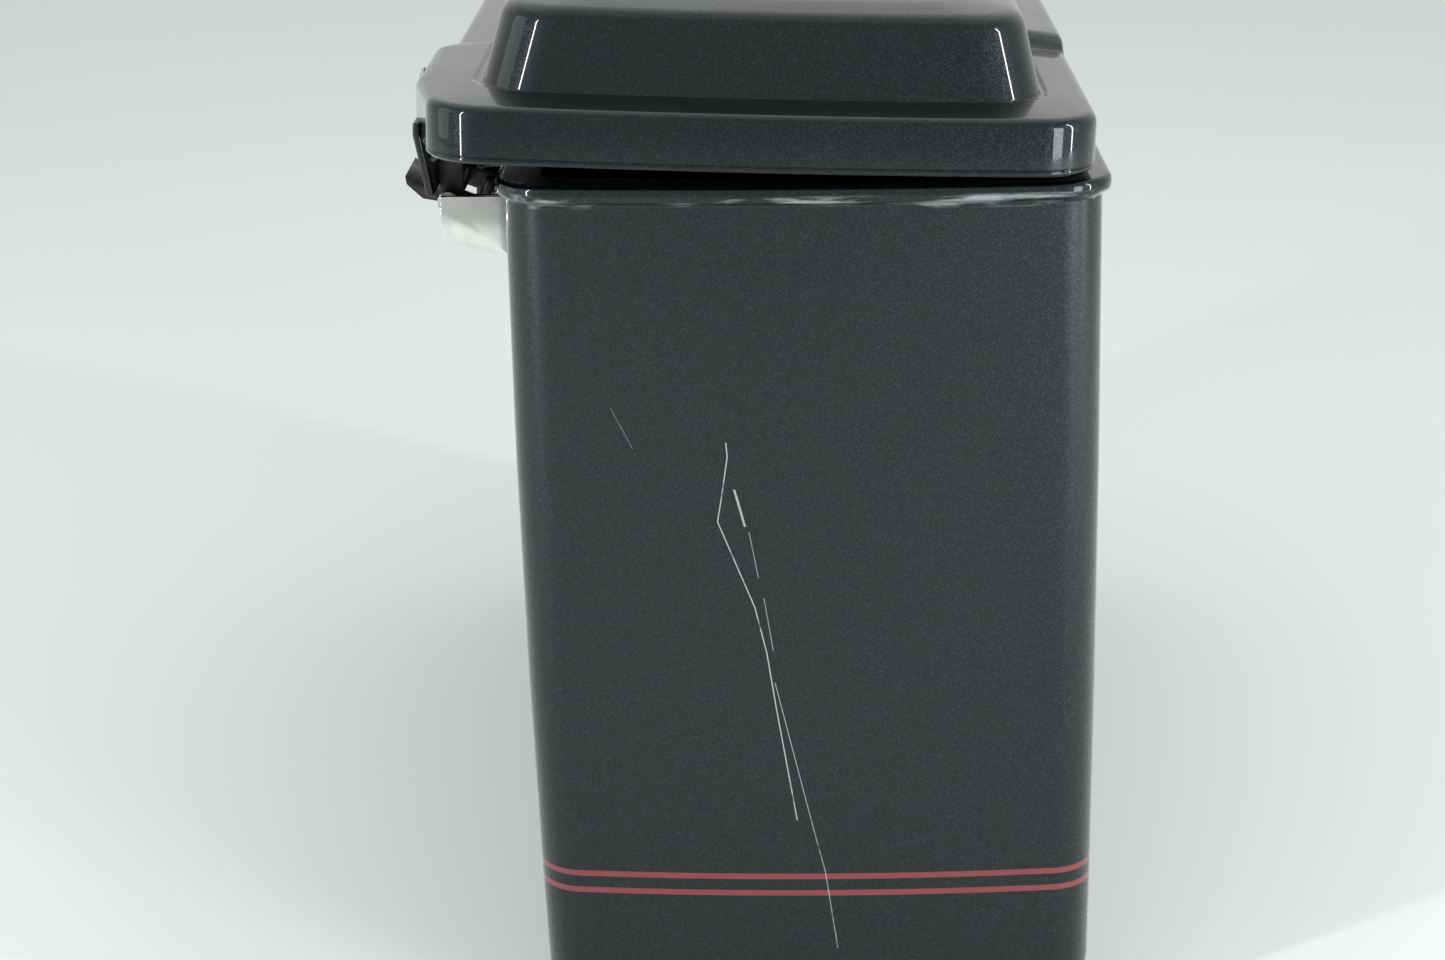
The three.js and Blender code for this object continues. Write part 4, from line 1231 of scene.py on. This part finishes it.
    def build_seal(self) -> None:
        """Builds the hollow-bulb seal round the panel."""
        middle = self.bag.rim_flange - self.seal_inset
        low, high = self.bag.height + self.seal_clearance, self.base + self.panel_rise
        centre_z = (low + high) / 2 - self.seal_thinning
        bulb = (high - low) / 2 - self.seal_thinning
        section = []
        for i in range(self.seal_steps):
            angle = 2 * math.pi * i / self.seal_steps
            z = centre_z + bulb * math.sin(angle) + self.seal_clearance
            section.append((middle + self.seal_half_width * math.cos(angle), z))
        rings = []
        for inset, z in section:
            plan = self.bag.plan(inset, self.bag.straight)
            rings.append([Vector((x, y, z)) * MM for x, y in plan.ring()])
        mesh = closed_loop_mesh("lid_bulb_seal", rings)
        seal = self.pose.tip(link("lid_bulb_seal", mesh, [RUBBER]))
        finish_piece(seal, Body.LID, ["lid_seal"])

    def build(self) -> None:
        """Builds the lid's own pieces."""
        shell = self.pose.tip(self.build_shell())
        finish_piece(shell, Body.LID, ["lid_shell"])
        self.build_panel()
        self.build_seal()


def closed_loop_mesh(name: str, rings: Sequence[Sequence[Vector]]) -> bpy.types.Mesh:
    """Skins rings into a closed loop, the last joined to the first.

    Args:
        name: The mesh's name.
        rings: The rings in metres, in order.

    Returns:
        A smooth mesh with its faces outwards.
    """
    count = len(rings[0])
    mesh = bpy.data.meshes.new(name)
    faces = []
    for r in range(len(rings)):
        base, top = r * count, ((r + 1) % len(rings)) * count
        faces += [[base + i, base + (i + 1) % count, top + (i + 1) % count, top + i] for i in range(count)]
    mesh.from_pydata([tuple(p) for ring in rings for p in ring], [], faces)
    work = bmesh.new()
    work.from_mesh(mesh)
    bmesh.ops.recalc_face_normals(work, faces=work.faces)
    work.to_mesh(mesh)
    work.free()
    mesh.shade_smooth()
    return mesh


def prism(
    name: str, section: Sequence[Point2], ends: Point2, finish: Finish, edge_mm: float
) -> bpy.types.Object:
    """Extrudes an (x, z) section along Y and rounds its edges.

    Args:
        name: The piece's name.
        section: The section's corners in millimetres.
        ends: The first and last Y.
        finish: The finish it gets.
        edge_mm: The width of its rounded edges.

    Returns:
        The piece.
    """
    work = bmesh.new()
    near = [work.verts.new(Vector((x, ends[0], z)) * MM) for x, z in section]
    far = [work.verts.new(Vector((x, ends[1], z)) * MM) for x, z in section]
    count = len(section)
    work.faces.new(near)
    work.faces.new(far[::-1])
    for i in range(count):
        work.faces.new([near[i], far[i], far[(i + 1) % count], near[(i + 1) % count]])
    bmesh.ops.recalc_face_normals(work, faces=work.faces)
    mesh = bpy.data.meshes.new(name)
    work.to_mesh(mesh)
    work.free()
    piece = link(name, mesh, [finish])
    edge = piece.modifiers.new("edges", "BEVEL")
    edge.width = edge_mm * MM
    edge.segments = 3
    baked(piece)
    piece.data.shade_smooth()
    piece.data.set_sharp_from_angle(angle=PRISM_CREASE)
    return piece


# ---- Screws, placed by Geometry Nodes ----


def screw_tree() -> bpy.types.NodeTree:
    """Builds the node group that stands one pan-head screw on each of a mesh's points.

    Returns:
        The group, with the inputs Head Radius, Head Height, Shank Radius, Shank Length, Turn and Finish.
    """
    known = bpy.data.node_groups.get("screws on points")
    if known:
        return known
    tree = bpy.data.node_groups.new("screws on points", "GeometryNodeTree")
    tree.interface.new_socket("Geometry", in_out="INPUT", socket_type="NodeSocketGeometry")
    for name in ("Head Radius", "Head Height", "Shank Radius", "Shank Length"):
        tree.interface.new_socket(name, in_out="INPUT", socket_type="NodeSocketFloat")
    tree.interface.new_socket("Turn", in_out="INPUT", socket_type="NodeSocketVector")
    tree.interface.new_socket("Finish", in_out="INPUT", socket_type="NodeSocketMaterial")
    tree.interface.new_socket("Geometry", in_out="OUTPUT", socket_type="NodeSocketGeometry")
    given = add_node(tree, "NodeGroupInput").outputs
    half_head = maths(tree, "MULTIPLY", given["Head Height"], 0.5)
    half_shank = maths(tree, "MULTIPLY", given["Shank Length"], -0.5)
    bars = []
    for radius, depth, middle, sides in (
        (given["Head Radius"], given["Head Height"], half_head, 40),
        (given["Shank Radius"], given["Shank Length"], half_shank, 20),
        (maths(tree, "MULTIPLY", given["Head Radius"], 0.42), given["Head Height"], given["Head Height"], 6),
    ):
        sizes = {"Vertices": sides, "Radius": radius, "Depth": depth}
        bar = add_node(tree, "GeometryNodeMeshCylinder", sizes).outputs["Mesh"]
        lift = add_node(tree, "ShaderNodeCombineXYZ", {"Z": middle}).outputs["Vector"]
        move = {"Geometry": bar, "Translation": lift}
        bars.append(add_node(tree, "GeometryNodeTransform", move).outputs["Geometry"])
    cut = {"Mesh 1": bars[0], "Mesh 2": bars[2]}
    head = add_node(tree, "GeometryNodeMeshBoolean", cut, operation="DIFFERENCE").outputs["Mesh"]
    whole = add_node(tree, "GeometryNodeJoinGeometry", {"Geometry": head})
    tree.links.new(bars[1], whole.inputs["Geometry"])
    points = add_node(tree, "GeometryNodeMeshToPoints", {"Mesh": given["Geometry"]}).outputs["Points"]
    placed = {"Points": points, "Instance": whole.outputs["Geometry"], "Rotation": given["Turn"]}
    stood = add_node(tree, "GeometryNodeInstanceOnPoints", placed).outputs["Instances"]
    real = add_node(tree, "GeometryNodeRealizeInstances", {"Geometry": stood}).outputs["Geometry"]
    dressed = add_node(tree, "GeometryNodeSetMaterial", {"Geometry": real, "Material": given["Finish"]})
    output = add_node(tree, "NodeGroupOutput")
    tree.links.new(dressed.outputs["Geometry"], output.inputs["Geometry"])
    return tree


@dataclass(frozen=True)
class ScrewRow:
    """Screws that point the same way: where their heads bear, in millimetres, and how they are turned."""

    places: tuple[Point3, ...]
    turn: Point3
    shank: float
    head_radius: float = 4.2
    head_height: float = 2.4
    shank_radius: float = 2.0

    def build(self, name: str) -> bpy.types.Object:
        """Builds the row's screws as one piece.

        Args:
            name: The piece's name.

        Returns:
            The piece.
        """
        mesh = bpy.data.meshes.new(name)
        mesh.from_pydata([tuple(Vector(place) * MM) for place in self.places], [], [])
        piece = link(name, mesh, [ZINC])
        nodes = piece.modifiers.new("screws", "NODES")
        nodes.node_group = screw_tree()
        values = {
            "Head Radius": self.head_radius * MM,
            "Head Height": self.head_height * MM,
            "Shank Radius": self.shank_radius * MM,
            "Shank Length": self.shank * MM,
            "Turn": self.turn,
            "Finish": ZINC.material(),
        }
        for item in nodes.node_group.interface.items_tree:
            if item.in_out == "INPUT" and item.name in values:
                nodes[item.identifier] = values[item.name]
        baked(piece)
        piece.data.set_sharp_from_angle(angle=SCREW_CREASE)
        return piece


FACING_OUTBOARD = (0.0, -math.pi / 2, 0.0)
FACING_INBOARD = (0.0, math.pi / 2, 0.0)
FACING_DOWN = (math.pi, 0.0, 0.0)


@dataclass(frozen=True)
class ScrewLayout:
    """Where the bag's and the lid's screws stand, from the pieces that they hold."""

    bag_shank: float = 9.5
    housing_stand_off: float = 2.6  # from the tongue's inner face to the housing screws' heads
    housing_rise: float = 9.05
    housing_half: float = 38.0
    housing_shank: float = 2.2
    panel_inset: float = 11.0  # from the ledge's inner edge
    panel_half: float = 232.4
    panel_shank: float = 10.0

    def build_bag(self) -> None:
        """Builds the bag's screws where the frame has them."""
        nodes = [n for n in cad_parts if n.startswith(("bracket_screw", "face_plate_screw"))]
        places = []
        for node in nodes:
            low, high = (Vector(corner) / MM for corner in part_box(node))
            places.append((low.x + ScrewRow.head_height, (low.y + high.y) / 2, (low.z + high.z) / 2))
        row = ScrewRow(tuple(places), FACING_OUTBOARD, self.bag_shank).build("bag_screws")
        finish_piece(row, Body.BAG, nodes)

    def build_lid(self, lid: Lid) -> None:
        """Builds the screws of the lid's latch housing and panel.

        Args:
            lid: The lid.
        """
        x = lid.outboard - lid.tongue_proud + lid.tongue_wall + self.housing_stand_off
        z = lid.base + self.housing_rise
        spots = tuple((x, lid.latch_y + y, z) for y in (-self.housing_half, self.housing_half))
        housing = ScrewRow(spots, FACING_INBOARD, self.housing_shank)
        inset = lid.ledge + self.panel_inset
        across = (lid.outboard + inset, lid.inboard - inset)
        along = (-self.panel_half, 0.0, self.panel_half)
        under = tuple((x, y, lid.base + lid.panel_rise) for x in across for y in along)
        panel = ScrewRow(under, FACING_DOWN, self.panel_shank)
        row = joined("lid_screws", [housing.build("housing_row"), panel.build("panel_row")])
        nodes = [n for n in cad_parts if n.startswith(("housing_screw", "panel_screw"))]
        finish_piece(lid.pose.tip(row), Body.LID, nodes)


# ---- Hardware that keeps its frame shape ----


@dataclass(frozen=True)
class Hardware:
    """A frame node shown as a finer copy of itself."""

    node: str
    body: Body
    slot: Slot
    finish: Finish
    edge: float = 0.35

    def build(self) -> None:
        """Builds the finer copy."""
        piece = refined_copy(self.node, self.finish, self.edge)
        finish_piece(piece, self.body, [self.node])


def latch_hardware() -> list[Hardware]:
    """Lists the latch, hinge and strap pieces."""
    return [
        Hardware("face_plate", Body.BAG, Slot.POLISHED, POLISHED, 0.5),
        Hardware("hinge_bracket", Body.BAG, Slot.ZINC, DARK_STEEL, 0.4),
        Hardware("backing_plate", Body.BAG, Slot.ZINC, ZINC, 0.4),
        Hardware("anchor_pin", Body.ANCHOR, Slot.ZINC, ZINC, 0.4),
        Hardware("rear_hinge_arm", Body.ARMS, Slot.DARK, DARK_STEEL, 0.4),
        Hardware("front_hinge_arm", Body.ARMS, Slot.DARK, DARK_STEEL, 0.4),
        Hardware("latch_housing", Body.LID, Slot.DARK, DARK_STEEL, 0.3),
        Hardware("hinge_pin", Body.LID, Slot.ZINC, ZINC, 0.4),
        Hardware("latch_lever", Body.LEVER, Slot.DARK, DARK_STEEL, 0.5),
        Hardware("lock_bezel", Body.LID, Slot.POLISHED, POLISHED, 0.2),
        Hardware("lock_cylinder", Body.LOCK, Slot.ZINC, ZINC, 0.2),
        Hardware("check_strap", Body.BAG, Slot.WEBBING, NYLON, 0.3),
        Hardware("bag_strap_clip", Body.BAG, Slot.PLASTIC, PANEL_PLASTIC, 0.4),
        Hardware("lid_strap_clip", Body.LID, Slot.PLASTIC, PANEL_PLASTIC, 0.4),
    ]


def stud_hardware() -> list[Hardware]:
    """Lists the mounting studs' pieces.

    Returns:
        The rear stud's pieces and then the front one's.
    """
    found = []
    sides = (("rear", Body.REAR_STUD, Body.REAR_BAIL), ("front", Body.FRONT_STUD, Body.FRONT_BAIL))
    for side, stud, bail in sides:
        found += [
            Hardware(f"{side}_stud_grommet", Body.BAG, Slot.RUBBER, RUBBER, 0.6),
            Hardware(f"{side}_stud_washer", Body.BAG, Slot.ZINC, ZINC, 0.3),
            Hardware(f"{side}_mounting_stud", stud, Slot.ZINC, ZINC, 0.4),
            Hardware(f"{side}_stud_clip", stud, Slot.ZINC, ZINC, 0.2),
            Hardware(f"{side}_bail_wire", bail, Slot.ZINC, ZINC, 0.15),
        ]
    return found


# ---- Camera, floor and lights ----


@dataclass(frozen=True)
class SoftLight:
    """One soft rectangular light: its place, aim and size in metres, and its power in watts."""

    name: str
    place: Point3
    aim: Point3
    size: Point2
    power: float

    def build(self) -> None:
        """Makes the light."""
        data = bpy.data.lights.new(self.name, "AREA")
        data.shape = "RECTANGLE"
        data.size, data.size_y = self.size
        data.energy = self.power
        lamp = bpy.data.objects.new(self.name, data)
        lamp.location = Vector(self.place)
        ahead = Vector(self.aim) - Vector(self.place)
        lamp.rotation_euler = ahead.to_track_quat("-Z", "Y").to_euler()
        bpy.context.scene.collection.objects.link(lamp)


@dataclass
class Studio:
    """The pale floor, the soft lights and the camera."""

    lights: tuple[SoftLight, ...] = (
        SoftLight("overhead", (0, 0.2, 2.4), (0, 0, 0.2), (2.6, 2.6), 7),
        SoftLight("right card", (1.15, -1.35, 0.35), (0.05, -0.28, 0.22), (0.5, 0.9), 13),
        SoftLight("left card", (-1.9, -0.3, 0.8), (0, 0, 0.25), (0.9, 1.6), 5),
        SoftLight("right strip", (1.5, -0.7, 0.6), (0.1, -0.27, 0.2), (0.06, 1.5), 14),
        SoftLight("left strip", (-1.2, -1.2, 0.6), (-0.1, -0.27, 0.2), (0.06, 1.5), 14),
    )
    world_colour: str = "#F2F5F4"
    world_strength: float = 0.72
    floor_reach: float = 9.0  # in metres, from the middle
    camera_place: Point3 = (SHIFT - 9.209, -1369.8, 591.2)
    pitch: float = 18.0
    yaw: float = 1.1
    roll: float = 0.75
    focal: float = 74.74
    sensor: float = 36.0
    clip_end: float = 50.0  # in metres

    def camera(self) -> None:
        """Makes the camera."""
        pitch, yaw, roll = (math.radians(a) for a in (self.pitch, self.yaw, self.roll))
        ahead = Vector((-math.sin(yaw) * math.cos(pitch), math.cos(yaw) * math.cos(pitch), -math.sin(pitch)))
        right = Vector((math.cos(yaw), math.sin(yaw), 0))
        up = right.cross(ahead)
        right, up = right * math.cos(roll) - up * math.sin(roll), right * math.sin(roll) + up * math.cos(roll)
        data = bpy.data.cameras.new("camera")
        data.lens = self.focal
        data.sensor_width = self.sensor
        data.clip_end = self.clip_end
        camera = bpy.data.objects.new("camera", data)
        turn = Matrix((right, up, -ahead)).transposed().to_4x4()
        camera.matrix_world = Matrix.Translation(Vector(self.camera_place) * MM) @ turn
        bpy.context.scene.collection.objects.link(camera)
        bpy.context.scene.camera = camera

    def floor(self) -> None:
        """Makes the floor."""
        work = bmesh.new()
        bmesh.ops.create_grid(work, x_segments=1, y_segments=1, size=self.floor_reach)
        mesh = bpy.data.meshes.new("floor")
        work.to_mesh(mesh)
        work.free()
        link("floor", mesh, [StudioFloor("matt pale floor")])

    def build(self) -> None:
        """Builds the floor, the world and the lights."""
        self.floor()
        world = bpy.data.worlds.new("studio")
        world.use_nodes = True
        sky = world.node_tree.nodes["Background"]
        sky.inputs["Color"].default_value = linear(self.world_colour)
        sky.inputs["Strength"].default_value = self.world_strength
        bpy.context.scene.world = world
        bpy.context.scene.view_settings.view_transform = "Standard"
        for light in self.lights:
            light.build()


def main() -> None:
    """Builds every piece in order."""
    logging.basicConfig(level=logging.INFO, format="%(message)s")
    studio = Studio()
    studio.camera()
    bag = BagShell()
    bag.build()
    lid = Lid(bag)
    lid.build()
    screws = ScrewLayout()
    screws.build_bag()
    screws.build_lid(lid)
    for piece in latch_hardware() + stud_hardware():
        piece.build()
    studio.build()


if __name__ == "__main__":
    main()
